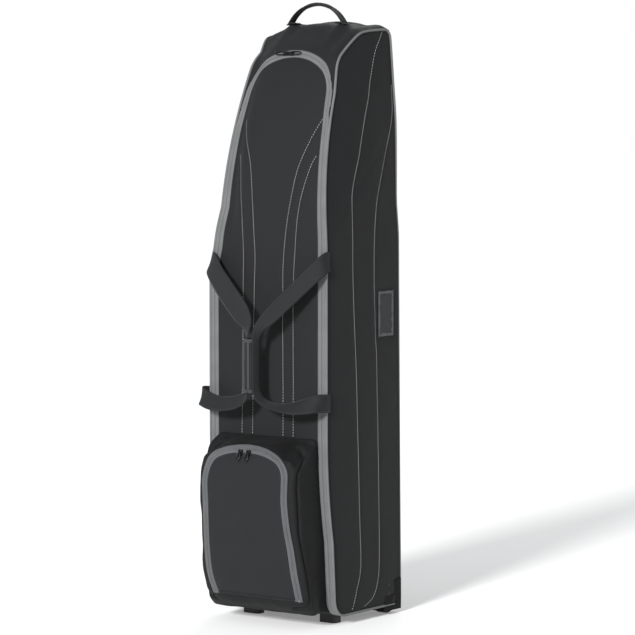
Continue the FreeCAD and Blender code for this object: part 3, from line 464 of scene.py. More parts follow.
# ---------------------------------------------------------------- materials
class Nodes:
    """Short ways to build one node material."""

    def __init__(self, name):
        self.material = bpy.data.materials.new(name)
        self.material.use_nodes = True
        self.tree = self.material.node_tree
        self.tree.nodes.clear()
        self.shader = self.add("ShaderNodeBsdfPrincipled")
        output = self.add("ShaderNodeOutputMaterial")
        self.link(self.shader.outputs[0], output.inputs[0])

    def add(self, kind, **values):
        item = self.tree.nodes.new(kind)
        for key, value in values.items():
            if hasattr(item, key):
                setattr(item, key, value)
            else:
                item.inputs[key].default_value = value
        return item

    def link(self, source, target):
        self.tree.links.new(source, target)

    def math(self, kind, first, second):
        item = self.add("ShaderNodeMath", operation=kind)
        for index, value in enumerate((first, second)):
            if isinstance(value, (int, float)):
                item.inputs[index].default_value = value
            else:
                self.link(value, item.inputs[index])
        return item.outputs[0]

    def place(self, woven):
        """Coordinates in metres: along the cloth, or in the object's own space."""
        if woven:
            return self.add("ShaderNodeUVMap", uv_map="weave").outputs[0]
        return self.add("ShaderNodeTexCoord").outputs["Object"]

    def noise(self, where, scale, detail=3.0):
        item = self.add("ShaderNodeTexNoise", Scale=scale, Detail=detail)
        self.link(where, item.inputs["Vector"])
        return item.outputs[0]

    def bands(self, where, scale, direction):
        item = self.add("ShaderNodeTexWave", bands_direction=direction, Scale=scale)
        self.link(where, item.inputs["Vector"])
        return item.outputs["Fac"]

    def ramp(self, factor, stops):
        item = self.add("ShaderNodeValToRGB")
        while len(item.color_ramp.elements) < len(stops):
            item.color_ramp.elements.new(0.5)
        for element, (position, colour) in zip(item.color_ramp.elements, stops):
            element.position = position
            element.color = (*colour, 1)
        self.link(factor, item.inputs[0])
        return item.outputs[0]

    def relief(self, height, strength, depth):
        item = self.add("ShaderNodeBump", Strength=strength, Distance=depth)
        self.link(height, item.inputs["Height"])
        self.link(item.outputs[0], self.shader.inputs["Normal"])

    def span(self, factor, low, high):
        item = self.add("ShaderNodeMapRange")
        self.link(factor, item.inputs["Value"])
        item.inputs["To Min"].default_value = low
        item.inputs["To Max"].default_value = high
        return item.outputs[0]


def shades(colour, *factors):
    """A colour made darker or lighter by factors."""
    return [tuple(min(channel * factor, 1.0) for channel in colour) for factor in factors]


def cloth(name, colour, threads, sheen=0.1, relief=0.35, ribs=False, woven=True):
    """Woven cloth. threads is how many wave bands go in a metre, and ribs makes webbing or tape."""
    made = Nodes(name)
    where = made.place(woven)
    warp = made.bands(where, threads, "X")
    weft = made.bands(where, threads * (0.45 if ribs else 1.0), "Y")
    if ribs:
        slant = made.bands(where, threads * 0.7, "DIAGONAL")
        weave = made.math("ADD", made.math("MULTIPLY", warp, 0.55), made.math("MULTIPLY", slant, 0.45))
        weave = made.math("MULTIPLY", weave, made.math("ADD", made.math("MULTIPLY", weft, 0.4), 0.6))
    else:
        weave = made.math("MULTIPLY", warp, weft)
    patches = made.noise(made.place(False), 22.0)
    fine = made.noise(made.place(False), 900.0, 2.0)
    tone = made.math("ADD", made.math("MULTIPLY", weave, 0.3), made.math("MULTIPLY", patches, 0.55))
    tone = made.math("ADD", tone, made.math("MULTIPLY", fine, 0.15))
    low, middle, high = shades(colour, 0.8, 1.0, 1.15)
    made.link(made.ramp(tone, [(0.25, low), (0.5, middle), (0.8, high)]),
              made.shader.inputs["Base Color"])
    made.link(made.span(patches, 0.62, 0.8), made.shader.inputs["Roughness"])
    made.shader.inputs["Sheen Weight"].default_value = sheen
    made.shader.inputs["Sheen Roughness"].default_value = 0.45
    made.shader.inputs["Specular IOR Level"].default_value = 0.22
    height = made.math("ADD", weave, made.math("MULTIPLY", fine, 0.4))
    made.relief(height, relief, 0.0004)
    return made.material


def plastic(name, colour, rough, relief=0.12, metal=0.0, worn=1.3, gloss=0.5):
    """Moulded plastic, rubber or painted metal with a fine grain and faint scuffs."""
    made = Nodes(name)
    where = made.place(False)
    grains = made.noise(where, 1400.0, 2.0)
    scuffs = made.noise(where, 60.0, 6.0)
    low, middle, high = shades(colour, 0.85, 1.0, worn)
    made.link(made.ramp(scuffs, [(0.3, low), (0.55, middle), (0.8, high)]),
              made.shader.inputs["Base Color"])
    made.link(made.span(scuffs, *rough), made.shader.inputs["Roughness"])
    made.shader.inputs["Metallic"].default_value = metal
    made.shader.inputs["Specular IOR Level"].default_value = gloss
    made.relief(grains, relief, 0.0003)
    return made.material


def clear_sheet(name):
    """Clear vinyl, slightly milky, with a soft ripple."""
    made = Nodes(name)
    ripple = made.noise(made.place(False), 45.0, 2.0)
    made.shader.inputs["Base Color"].default_value = (0.12, 0.125, 0.13, 1)
    made.shader.inputs["Alpha"].default_value = 0.22
    made.link(made.span(ripple, 0.12, 0.3), made.shader.inputs["Roughness"])
    made.relief(ripple, 0.25, 0.001)
    return made.material


SHELL = cloth("shell_cloth", (0.0092, 0.0098, 0.0105), 330, sheen=0.05)
POCKET = cloth("pocket_cloth", (0.0102, 0.0112, 0.0122), 330, sheen=0.06)
# The pocket's side band is the same cloth as the pocket, painted darker as shade because its sides face
# away from the key light.
POCKET_SHADED_BAND = cloth("pocket_band_painted_shade", (0.0058, 0.0061, 0.0067), 330, sheen=0.02)
TAPE = cloth("tape_cloth", (0.13, 0.134, 0.136), 300, ribs=True, relief=0.5)
POCKET_TAPE = cloth("pocket_tape_cloth", (0.085, 0.089, 0.094), 300, ribs=True, relief=0.5)
CORD = cloth("piping_cloth", (0.15, 0.153, 0.155), 420)
WEBBING = cloth("webbing_weave", (0.0125, 0.0135, 0.0150), 210, sheen=0.06, ribs=True, relief=0.9)
GRIP = cloth("grip_cloth", (0.0125, 0.013, 0.014), 300, sheen=0.08)
BINDING = cloth("edge_binding", (0.04, 0.041, 0.043), 260, ribs=True)
THREAD = cloth("thread", (0.42, 0.42, 0.42), 900, woven=False)
DARK_THREAD = cloth("dark_thread", (0.035, 0.035, 0.037), 900, woven=False)
FOAM = cloth("foam_cloth", (0.03, 0.031, 0.034), 360)
COIL = plastic("zip_coil", (0.12, 0.122, 0.125), rough=(0.3, 0.45))
DARK_STEEL = plastic("black_steel", (0.03, 0.03, 0.031), rough=(0.3, 0.5), metal=0.8, relief=0.04)
SLIDER = plastic("slider_metal", (0.022, 0.022, 0.024), rough=(0.22, 0.36), metal=0.6, relief=0.05)
STEEL = plastic("bright_steel", (0.55, 0.55, 0.56), rough=(0.2, 0.4), metal=1.0, relief=0.04, worn=1.1)
GUARD = plastic("moulded_guard", (0.006, 0.006, 0.0064), rough=(0.55, 0.75), gloss=0.14)
TYRE = plastic("tyre_rubber", (0.016, 0.016, 0.016), rough=(0.6, 0.85), relief=0.3)
HUB = plastic("hub_plastic", (0.05, 0.05, 0.053), rough=(0.3, 0.45))
FOOT_RUBBER = plastic("foot_rubber", (0.013, 0.013, 0.013), rough=(0.5, 0.7), relief=0.2)
BOARD = plastic("board_plastic", (0.03, 0.03, 0.032), rough=(0.45, 0.6), relief=0.3)
BUCKLE = plastic("buckle_plastic", (0.016, 0.016, 0.017), rough=(0.3, 0.42))
VINYL = clear_sheet("clear_vinyl")
VINYL_EDGE = plastic("vinyl_edge", (0.045, 0.046, 0.049), rough=(0.2, 0.35), relief=0.05)
CARD = plastic("paper_card", (0.022, 0.0225, 0.024), rough=(0.7, 0.85), relief=0.1, worn=1.4, gloss=0.2)

# ---------------------------------------------------------------- camera, light and floor
CAMERA_PLACE = Vector((3.763, -5.098, 1.098))
CAMERA_TURN = 36.0
CAMERA_DOWN = 4.147
CAMERA_LENS = 170.08
KEY_POWER, KEY_SPREAD, KEY_DIRECTION = 4.1, 11.0, (-0.14, 0.9, -0.36)
FILL_POWER, FLOOR_GLOW, FLOOR_REACH = 0.4, 0.24, 30.0


def make_camera():
    """The photographed viewpoint."""
    data = bpy.data.cameras.new("camera")
    data.lens = CAMERA_LENS
    data.sensor_width = 36.0
    data.clip_end = 100.0
    item = bpy.data.objects.new("camera", data)
    item.location = CAMERA_PLACE
    turn, down = math.radians(CAMERA_TURN), math.radians(CAMERA_DOWN)
    ahead = Vector((-math.sin(turn) * math.cos(down), math.cos(turn) * math.cos(down), -math.sin(down)))
    item.rotation_mode = "QUATERNION"
    item.rotation_quaternion = ahead.to_track_quat("-Z", "Y")
    bpy.context.scene.collection.objects.link(item)
    bpy.context.scene.camera = item


def area_light(name, place, target, size, power):
    """A soft studio panel that faces a point."""
    data = bpy.data.lights.new(name, "AREA")
    data.energy = power
    data.size = size
    item = bpy.data.objects.new(name, data)
    item.location = Vector(place)
    item.rotation_mode = "QUATERNION"
    item.rotation_quaternion = (Vector(target) - Vector(place)).to_track_quat("-Z", "Y")
    bpy.context.scene.collection.objects.link(item)


def make_studio():
    """Pale floor, white backdrop, soft fill, a frontal key light and a weak rim light."""
    world = bpy.data.worlds.new("studio")
    world.use_nodes = True
    tree = world.node_tree
    backdrop = tree.nodes["Background"]
    backdrop.inputs[0].default_value = (1, 1, 1, 1)
    backdrop.inputs[1].default_value = 1.0
    fill = tree.nodes.new("ShaderNodeBackground")
    fill.inputs[0].default_value = (0.97, 0.985, 1, 1)
    fill.inputs[1].default_value = FILL_POWER
    seen = tree.nodes.new("ShaderNodeLightPath")
    mix = tree.nodes.new("ShaderNodeMixShader")
    tree.links.new(seen.outputs["Is Camera Ray"], mix.inputs[0])
    tree.links.new(fill.outputs[0], mix.inputs[1])
    tree.links.new(backdrop.outputs[0], mix.inputs[2])
    tree.links.new(mix.outputs[0], tree.nodes["World Output"].inputs[0])
    bpy.context.scene.world = world
    bpy.context.scene.view_settings.view_transform = "Standard"
    data = bpy.data.lights.new("key_light", "SUN")
    data.energy = KEY_POWER
    data.angle = math.radians(KEY_SPREAD)
    key = bpy.data.objects.new("key_light", data)
    key.rotation_mode = "QUATERNION"
    key.rotation_quaternion = Vector(KEY_DIRECTION).to_track_quat("-Z", "Y")
    bpy.context.scene.collection.objects.link(key)
    area_light("rim_light", (-1.4, 3.2, 3.0), (0, 0, 0.65), 1.8, 25)
    floor_paint = Nodes("floor_paint")
    cloudy = floor_paint.noise(floor_paint.place(False), 0.7)
    floor_paint.link(floor_paint.ramp(cloudy, [(0.3, (0.93, 0.93, 0.93)), (0.7, (0.96, 0.96, 0.96))]),
                     floor_paint.shader.inputs["Base Color"])
    floor_paint.shader.inputs["Roughness"].default_value = 0.75
    floor_paint.shader.inputs["Emission Color"].default_value = (1, 1, 1, 1)
    floor_paint.shader.inputs["Emission Strength"].default_value = FLOOR_GLOW
    corners = [(across * FLOOR_REACH, along * FLOOR_REACH, 0)
               for across, along in ((-1, -1), (1, -1), (1, 1), (-1, 1))]
    mesh = bpy.data.meshes.new("floor")
    mesh.from_pydata(corners, [], [(0, 1, 2, 3)])
    mesh.materials.append(floor_paint.material)
    floor = bpy.data.objects.new("floor", mesh)
    bpy.context.scene.collection.objects.link(floor)


make_camera()
make_studio()


# ---------------------------------------------------------------- outlines of the case
RIM, RIM_HEIGHT = 85.0, 1181.0
WAIST, WAIST_HEIGHT = 132.2, 1040.0
SHOULDER, SHOULDER_HEIGHT, SHOULDER_RADIUS = 124.5, 1111.0, 91.0
ARCH_RADIUS = 157.0

# How much of an inset across the zip the legs and the narrower tape above them keep.
LEG_SHARE, UPPER_SHARE, ARCH_DROP = 0.8, 0.62, 4.0


def zip_line(inset, start=LOWEST, to_top=True):
    """Right half of the main zip's line in the front view, from low on the leg to the centre."""
    half = HALF_WIDTH - WALL - LEG_SHARE * inset
    near = UPPER_SHARE * inset
    high = near + ARCH_DROP
    waist, shoulder = WAIST - near, SHOULDER - near
    legs = [np.array([[half, start], [half, LEAN_START]])] if start < LEAN_START else []
    lean = np.array([[half, LEAN_START], [waist, WAIST_HEIGHT], [shoulder, SHOULDER_HEIGHT]])
    if start >= LEAN_START:
        share = (start - LEAN_START) / (WAIST_HEIGHT - LEAN_START)
        lean[0] = [half + share * (waist - half), start]
    rim = (RIM - 0.54 * high, RIM_HEIGHT - 0.84 * high)
    bend_round = arc_points((shoulder, SHOULDER_HEIGHT), rim, SHOULDER_RADIUS - near)
    rim = bend_round[-1]
    over = arc_points(rim, (-rim[0], rim[1]), ARCH_RADIUS - high, 49)[:25]
    return np.vstack(legs + [lean, bend_round] + ([over] if to_top else []))


def mirror_line(line):
    """A line with its mirror image: left leg, over the top, right leg."""
    other = line * [-1, 1]
    return np.vstack([other, line[::-1][1:]])


def lift_front(line, proud=0.0):
    """A front-view line laid on the leaning front, standing proud by a distance."""
    line = np.asarray(line, float)
    up = line[..., 1]
    tilt = front_tilt(up)
    y = np.interp(up, FOOT_DOWN[::-1], FOOT[::-1, 0])
    y = np.where(up < BELLY, y, front_at(np.maximum(up, BELLY)))
    z = np.where(up < BELLY, np.interp(up, FOOT_DOWN[::-1], FOOT[::-1, 1]), up)
    return np.stack([line[..., 0], y - proud * np.cos(tilt), z + proud * np.sin(tilt)], -1)


def top_of_side():
    """Edge of a side panel along the top: from the front corner back to the back panel."""
    heights = np.linspace(1050, 1262, 600)
    y = front_at(heights)
    gap = heights - crown_at(half_at(y, heights), y)
    corner = int(np.argmax(gap > 0))
    back_gap = heights - crown_at(half_at(back_at(heights), heights), back_at(heights))
    last = heights[int(np.argmax(back_gap > 0))]
    reach = np.linspace(y[corner], back_at(last), 90)
    height = np.full(reach.shape, heights[corner])
    for _ in range(60):
        height = 0.5 * height + 0.5 * crown_at(half_at(reach, height), reach)
    return np.stack([reach, height], 1)


TOP_EDGE = top_of_side()
EDGE_ROUND = 9.0


def front_edge(top):
    """The front of a side panel in the side view, from the base up to a height."""
    heights = np.linspace(BELLY + 4, top, 110)
    return np.vstack([FOOT[::-1], np.stack([front_at(heights), heights], 1)])


def side_outline(proud=0.0):
    """The closed edge of a side panel in the side view, from the front foot, clockwise."""
    front = front_edge(TOP_EDGE[0, 1] - EDGE_ROUND)
    back_heights = np.linspace(TOP_EDGE[-1, 1] - EDGE_ROUND, BASE, 120)
    back = np.stack([back_at(back_heights), back_heights], 1)
    bottom = np.array([[BACK - 8, BASE], [6 - TOE_PLACE, BASE]])
    line = np.vstack([front, TOP_EDGE[4:-4], back, bottom])
    line = resample(np.vstack([line, line[:1]]), 900)[:-1]
    for _ in range(6):
        line = (np.roll(line, 1, 0) + 2 * line + np.roll(line, -1, 0)) / 4
    along = np.roll(line, -1, 0) - np.roll(line, 1, 0)
    out = np.stack([-along[:, 1], along[:, 0]], 1)
    return line + proud * out / np.linalg.norm(out, axis=1, keepdims=True)


# ---------------------------------------------------------------- stitching
FRONT_SEAMS = {
    "right_inner": [(42, 380), (41, 690), (43, 766), (50, 829), (59, 891), (70, 953), (91, 1011),
                    (114, 1060)],
    "right_outer": [(68, 380), (68, 684), (73, 788), (82, 881), (100, 954), (113, 984)],
    "left_inner": [(-38, 380), (-35, 600), (-33, 690), (-32, 805), (-51, 951), (-78, 1014),
                   (-101, 1056)],
    "left_outer": [(-66, 380), (-63, 600), (-62, 690), (-63, 805), (-78, 900), (-91, 955),
                   (-105, 984)],
}
SIDE_SEAMS = {
    "fore": [(139, 1232), (102, 1178), (60, 1088), (23, 983), (-6, 901), (-7, 790), (-4, 682), (6, 514),
             (17, 260), (24, 121), (10, 70), (-4, 28)],
    "aft": [(156, 1130), (150, 1060), (118, 982), (80, 878), (71, 762), (76, 640), (82, 508), (91, 209),
            (91, 102), (76, 50), (40, 30)],
}


def seam_path(points, step=3.0):
    """A smooth seam through a few places, at small equal steps."""
    path = smooth_path(points, 400)
    return resample(path, max(int(length_of(path) / step), 4))


def stitches(name, path, normals, body, material=THREAD, stitch=4.2, gap=1.7, thick=0.62, proud=0.15):
    """A row of thread stitches: each is a small bent capsule that dips into the cloth at its ends.
    A row without a body is not attached to one."""
    total = length_of(path)
    count = max(int(total / (stitch + gap)), 1)
    parts = 5
    fine = resample(np.hstack([path, normals]), count * parts + 1)
    share = stitch / (stitch + gap) * parts / (parts - 1)
    vertices, faces = [], []
    around = 5
    turns = np.linspace(0, 2 * math.pi, around, endpoint=False)
    profile = np.array([[0.35, -0.7], [0.9, 0.2], [1.0, 0.62], [0.9, 0.2], [0.35, -0.7]])
    for index in range(count):
        first, last = fine[index * parts], fine[index * parts + parts - 1]
        along = (last[:3] - first[:3]) * share
        middle = (first[:3] + last[:3]) / 2
        normal = unit(first[3:] + last[3:])
        side = unit(np.cross(along, normal))
        start = len(vertices)
        for ring, (size, lift) in enumerate(profile):
            centre = middle + along * (ring / 4 - 0.5) + normal * (proud + thick * lift)
            for turn in turns:
                out = side * math.cos(turn) + normal * math.sin(turn) * 0.8
                vertices.append(centre + out * thick * size)
        faces += grid_faces(len(profile), around, wrap_columns=True, start=start)
        faces += end_faces(len(profile), around, start)
    made = new_object(name, vertices, faces, material)
    return bend(made) if body is None else put(made, body)


def fine_stitches(name, path, normals, body, stitch=3.6, proud=0.15):
    """A row of small dark stitches."""
    return stitches(name, path, normals, body, DARK_THREAD, stitch, 1.6, 0.5, proud)


# ---------------------------------------------------------------- side panels
WINDOW_LOW, WINDOW_HIGH = node_box("id_frame")
WINDOW_MIDDLE = (WINDOW_LOW + WINDOW_HIGH)[1:] / 2
WINDOW_REACH = (WINDOW_HIGH - WINDOW_LOW)[1:] / 2


def even_steps(length, size):
    """How many points divide a length into steps of about one size."""
    return max(int(round(length / size)), 4) + 1


def side_grid(windowed):
    """Points of a side panel: rows go up, columns go from the front to the back. A windowed
    panel lies flat where the label window is sewn on."""
    edge_inset, depth, rise = 1.0, 272, 1200
    rows, columns = even_steps(1240, 5.0), even_steps(depth, 4.2)
    front_top, back_top = TOP_EDGE[0, 1], TOP_EDGE[-1, 1]
    left = resample(front_edge(front_top) + [edge_inset, edge_inset], rows)
    left[:, 1] = np.minimum(left[:, 1], front_top)
    heights = np.linspace(BASE + edge_inset, back_top, rows)
    right = np.stack([back_at(heights) - edge_inset, heights], 1)
    bottom = resample([left[0], right[0]], columns)
    top = resample(np.vstack([left[-1], TOP_EDGE[1:-1], right[-1]]), columns)
    flat = coons(bottom, top, left, right)
    y, z = flat[..., 0], flat[..., 1]
    across = np.linspace(0, 1, columns)[None, :] * np.ones((rows, 1))
    up = np.linspace(0, 1, rows)[:, None] * np.ones((1, columns))
    edge = np.minimum(np.minimum(across, 1 - across) * depth, np.minimum(up, 1 - up) * rise)
    puff = 3.4 * (1 - np.exp(-edge / 20)) + 2.0 * np.sin(math.pi * across) * np.sin(math.pi * up) ** 0.5
    for path in SIDE_SEAMS.values():
        puff = puff - 1.3 * bump(edge_distance(flat, seam_path(path, 5.0)), 5.5)
    fade = 1 - np.exp(-edge / 25)
    puff = puff + fade * 0.9 * waves(y, z, 260, 11) + fade * 0.3 * waves(y, z, 90, 12)
    near_top = np.exp(-((front_top + 40 - z) / 120) ** 2)
    slack = (y - 60) * 0.75 + (z - 1170) * 0.66
    puff = puff + fade * near_top * 1.5 * np.sin(slack / 13.0) * bump(slack, 50)
    low = np.exp(-((z - BASE) / 90) ** 2)
    puff = puff + fade * low * 1.4 * np.sin((y + 0.35 * z) / 19.0)
    crease = z - LEAN_START - CREASE_SLOPE * (y - FRONT)
    puff = puff - fade * 0.8 * bump(crease, 14)
    strap = bump(z - 757, 26) + bump(z - 473, 26)
    puff = puff - 1.2 * strap * np.exp(-np.abs(y - FRONT) / 40)
    x = half_at(y, z) - 1.2 + puff * np.clip(edge / 6, 0, 1)
    if windowed:
        beyond = np.maximum(np.abs(y - WINDOW_MIDDLE[0]) - WINDOW_REACH[0],
                            np.abs(z - WINDOW_MIDDLE[1]) - WINDOW_REACH[1])
        hold = np.exp(-(np.clip(beyond, 0, None) / 14) ** 2)
        x = x * (1 - hold) + (WINDOW_LOW[0] - 0.3) * hold
    return np.stack([x, y, z], 2)


def mirror_grid(points):
    """The same surface on the other side of the centre line, still facing outwards."""
    return (points * [-1, 1, 1])[:, ::-1]


def make_sides():
    """Both side panels with their two long rows of stitching and the corded edge."""
    right = side_grid(True)
    left = mirror_grid(side_grid(False))
    for name, points, sign in (("right", right, 1), ("left", left, -1)):
        panel = cloth_panel(f"side_panel_{name}", points, CLOTH, SHELL)
        put(panel, "case", "shell_fabric", f"{name}_side_panel")
        surface = Surface(points)
        for seam, path in SIDE_SEAMS.items():
            line = seam_path(path)
            places = np.stack([np.full(len(line), sign * HALF_WIDTH), line[:, 0], line[:, 1]], 1)
            spots, normals = surface.drop(places, (-sign, 0, 0))
            stitches(f"side_stitching_{seam}_{name}", spots, normals, "case")
        edge = side_outline(PIPING_PROUD)
        tucked = np.clip((edge[:, 0] - 150) / 20, 0, 1) * np.clip((1150 - edge[:, 1]) / 250, 0, 1)
        tucked = 2.4 * tucked
        x = sign * (half_at(edge[:, 0], edge[:, 1]) - 0.2 - tucked)
        path = np.stack([x, edge[:, 0], edge[:, 1]], 1)
        cord = tube(f"piping_{name}", path, PIPING_RADIUS, CORD, closed=True, guide=(1, 0, 0), count=12)
        put(cord, "case", "piping", f"{name}_piping")
        inner = side_outline(-3.2)
        x = sign * (half_at(inner[:, 0], inner[:, 1]) + 0.2)
        seat = np.stack([x, inner[:, 0], inner[:, 1]], 1)
        seat_normal = np.tile([sign, 0.0, 0.0], (len(seat), 1))
        fine_stitches(f"piping_stitching_{name}", seat, seat_normal, "case", 3.4)


make_sides()


# ---------------------------------------------------------------- front door
def front_puff(x, z, edge, seed):
    """How far the quilted front stands proud of the flat face."""
    flat = np.stack([x, z], 2)
    puff = 3.0 * (1 - np.exp(-edge / 16)) + 2.2 * (1 - np.exp(-edge / 60))
    for path in FRONT_SEAMS.values():
        puff = puff - 1.4 * bump(edge_distance(flat, seam_path(path, 5.0)), 5.0)
    fade = 1 - np.exp(-edge / 20)
    puff = puff + fade * 0.8 * waves(x, z, 230, seed) + fade * 0.3 * waves(x, z, 80, seed + 1)
    return puff


def zip_wave(z):
    """Gentle waviness of the long zip legs."""
    long_wave = 1.2 * np.sin(z / 57.0) * bump(z - 560, 330)
    return long_wave + 0.7 * np.sin(z / 23.0 + 1) * bump(z - 600, 260)


DOOR_EDGE = 23.5
TAPE_OUTER, TAPE_INNER = (0.0, 11.2), (12.2, 23.9)
TEETH_INSET, DOOR_SEAM_INSET = 11.75, 25.6


def wavy(line):
    """A zip line with the soft waves of its legs."""
    line = np.array(line, float)
    shift = zip_wave(line[:, 1]) * np.clip((1100 - line[:, 1]) / 200, 0, 1)
    line[:, 0] += shift
    return line


def door_grid():
    """Points of the front door, from the foot to the arch."""
    side = zip_line(DOOR_EDGE, LOWEST + 0.4, to_top=False)
    over = zip_line(DOOR_EDGE, LOWEST + 0.4)[len(side) - 1:]
    rows, columns = even_steps(length_of(side), 4.2), even_steps(2 * side[0, 0], 4.2)
    right = wavy(resample(side, rows))
    left = right * [-1, 1]
    bottom = resample([left[0], right[0]], columns)
    top = resample(np.vstack([over * [-1, 1], over[::-1][1:]]), columns)
    top[0], top[-1] = left[-1], right[-1]
    flat = coons(bottom, top, left, right)
    x, z = flat[..., 0], flat[..., 1]
    edge = edge_distance(flat, resample(np.vstack([left, top, right[::-1]]), 700))
    puff = front_puff(x, z, edge, 21) + 0.9 * np.exp(-edge / 2.5)
    puff = puff - 2.5 * np.exp(-((z - LOWEST) / 60) ** 2)
    return lift_front(flat, puff)


def weave_tape(band, width, length, rows, columns):
    """Let the ribs of a tape follow its length."""
    across = np.broadcast_to(np.linspace(0, 1, columns) * width, (rows, columns))
    along = np.repeat(np.linspace(0, length, rows)[:, None], columns, 1)
    uv = np.stack([across, along], 2).reshape(-1, 2)
    set_weave(band.data, np.vstack([uv, uv]))


def zip_band(name, line, inner, outer, body, *stands_for):
    """One half of a zip's tape: a ribbed strip with a raised sewn edge. Without a body it is not attached
    to one."""
    first, last = line(outer), line(inner)
    rows, columns = even_steps(length_of(first), 4.0), 7
    first, last = resample(first, rows), resample(last, rows)
    steps = np.linspace(0, 1, columns)
    flat = first[:, None] * (1 - steps[None, :, None]) + last[:, None] * steps[None, :, None]
    lift = 0.3 + 0.5 * np.sin(np.linspace(0, math.pi, columns))[None, :] * np.ones((rows, 1))
    band = cloth_panel(name, lift_front(flat, lift), TAPE_THICKNESS, TAPE)
    weave_tape(band, abs(outer - inner), length_of(first), rows, columns)
    return bend(band, "zip_tape", *stands_for) if body is None else put(band, body, "zip_tape", *stands_for)


def coil(name, path, normals, body, pitch=1.7, width=4.6, thick=0.7):
    """Zip teeth: a row of small rounded loops across a path."""
    total = length_of(path)
    count = int(total / pitch)
    data = resample(np.hstack([path, normals]), count)
    direction = tangents(data[:, :3])
    normal = unit(data[:, 3:])
    side = np.cross(direction, normal)
    shape = np.array([(-0.5, -0.2), (-0.46, 0.55), (-0.2, 0.8), (0.2, 0.8), (0.46, 0.55), (0.5, -0.2)])
    ring = np.array([(-0.5, -0.35), (0.5, -0.35), (0.5, 0.35), (-0.5, 0.35)])
    skew = 0.45 * pitch
    vertices, faces = [], []
    for index in range(count):
        start = len(vertices)
        for across, up in shape:
            centre = (data[index, :3] + side[index] * across * width + normal[index] * up * 1.1
                      + direction[index] * across * skew)
            for ahead, rise in ring:
                vertices.append(centre + direction[index] * ahead * thick * 1.5
                                + normal[index] * rise * thick)
        faces += grid_faces(len(shape), len(ring), wrap_columns=True, start=start)
        faces += end_faces(len(shape), len(ring), start)
    item = new_object(name, vertices, faces, COIL)
    return put(item, body, "zip_tape")


def main_line(inset, start=LOWEST + 1):
    """The whole zip line on the front, left leg, arch and right leg, at an inset."""
    return mirror_line(wavy(zip_line(inset, start)))


def front_normals(line):
    """Outward directions on the leaning front along a front-view line."""
    tilt = front_tilt(line[:, 1])
    return np.stack([np.zeros(len(line)), -np.cos(tilt), np.sin(tilt)], 1)


def make_front():
    """The door, the long zip round it and the four rows of stitching."""
    points = door_grid()
    panel = cloth_panel("door", points, CLOTH, SHELL)
    bend(panel, "shell_fabric", "front_door_lower", "front_door_upper")
    door = Surface(points)
    for seam, places in FRONT_SEAMS.items():
        spots, normals = door.drop(lift_front(seam_path(places)), (0, 1, 0))
        stitches(f"front_stitching_{seam}", spots, normals, None)
    zip_band("zip_tape_outer", main_line, *TAPE_OUTER, "case", "main_zip_tape_outer")
    zip_band("zip_tape_inner", main_line, *TAPE_INNER, None,
             "main_zip_tape_lower", "main_zip_tape_upper")
    middle = main_line(TEETH_INSET)
    coil("zip_teeth", lift_front(middle, 0.5), front_normals(middle), "case")
    line = main_line(DOOR_SEAM_INSET, LOWEST + 6)
    line = resample(line, even_steps(length_of(line), 3))
    spots, normals = door.drop(lift_front(line), (0, 1, 0))
    fine_stitches("door_edge_stitching", spots, normals, None)


make_front()


# ---------------------------------------------------------------- top gusset and back
def outside_of_case(points):
    """How far points are outside the case's top, front or sides, blended softly at the edges."""
    x, y, z = points[..., 0], points[..., 1], points[..., 2]
    gaps = [z - crown_at(x, y), (front_at(z) - y), np.abs(x) - half_at(y, z)]
    return soft_max(gaps, 4.0)


HANDLE_SIDE, HANDLE_PLACE = 64.0, 82.0
BACK_SEAM = 96.0


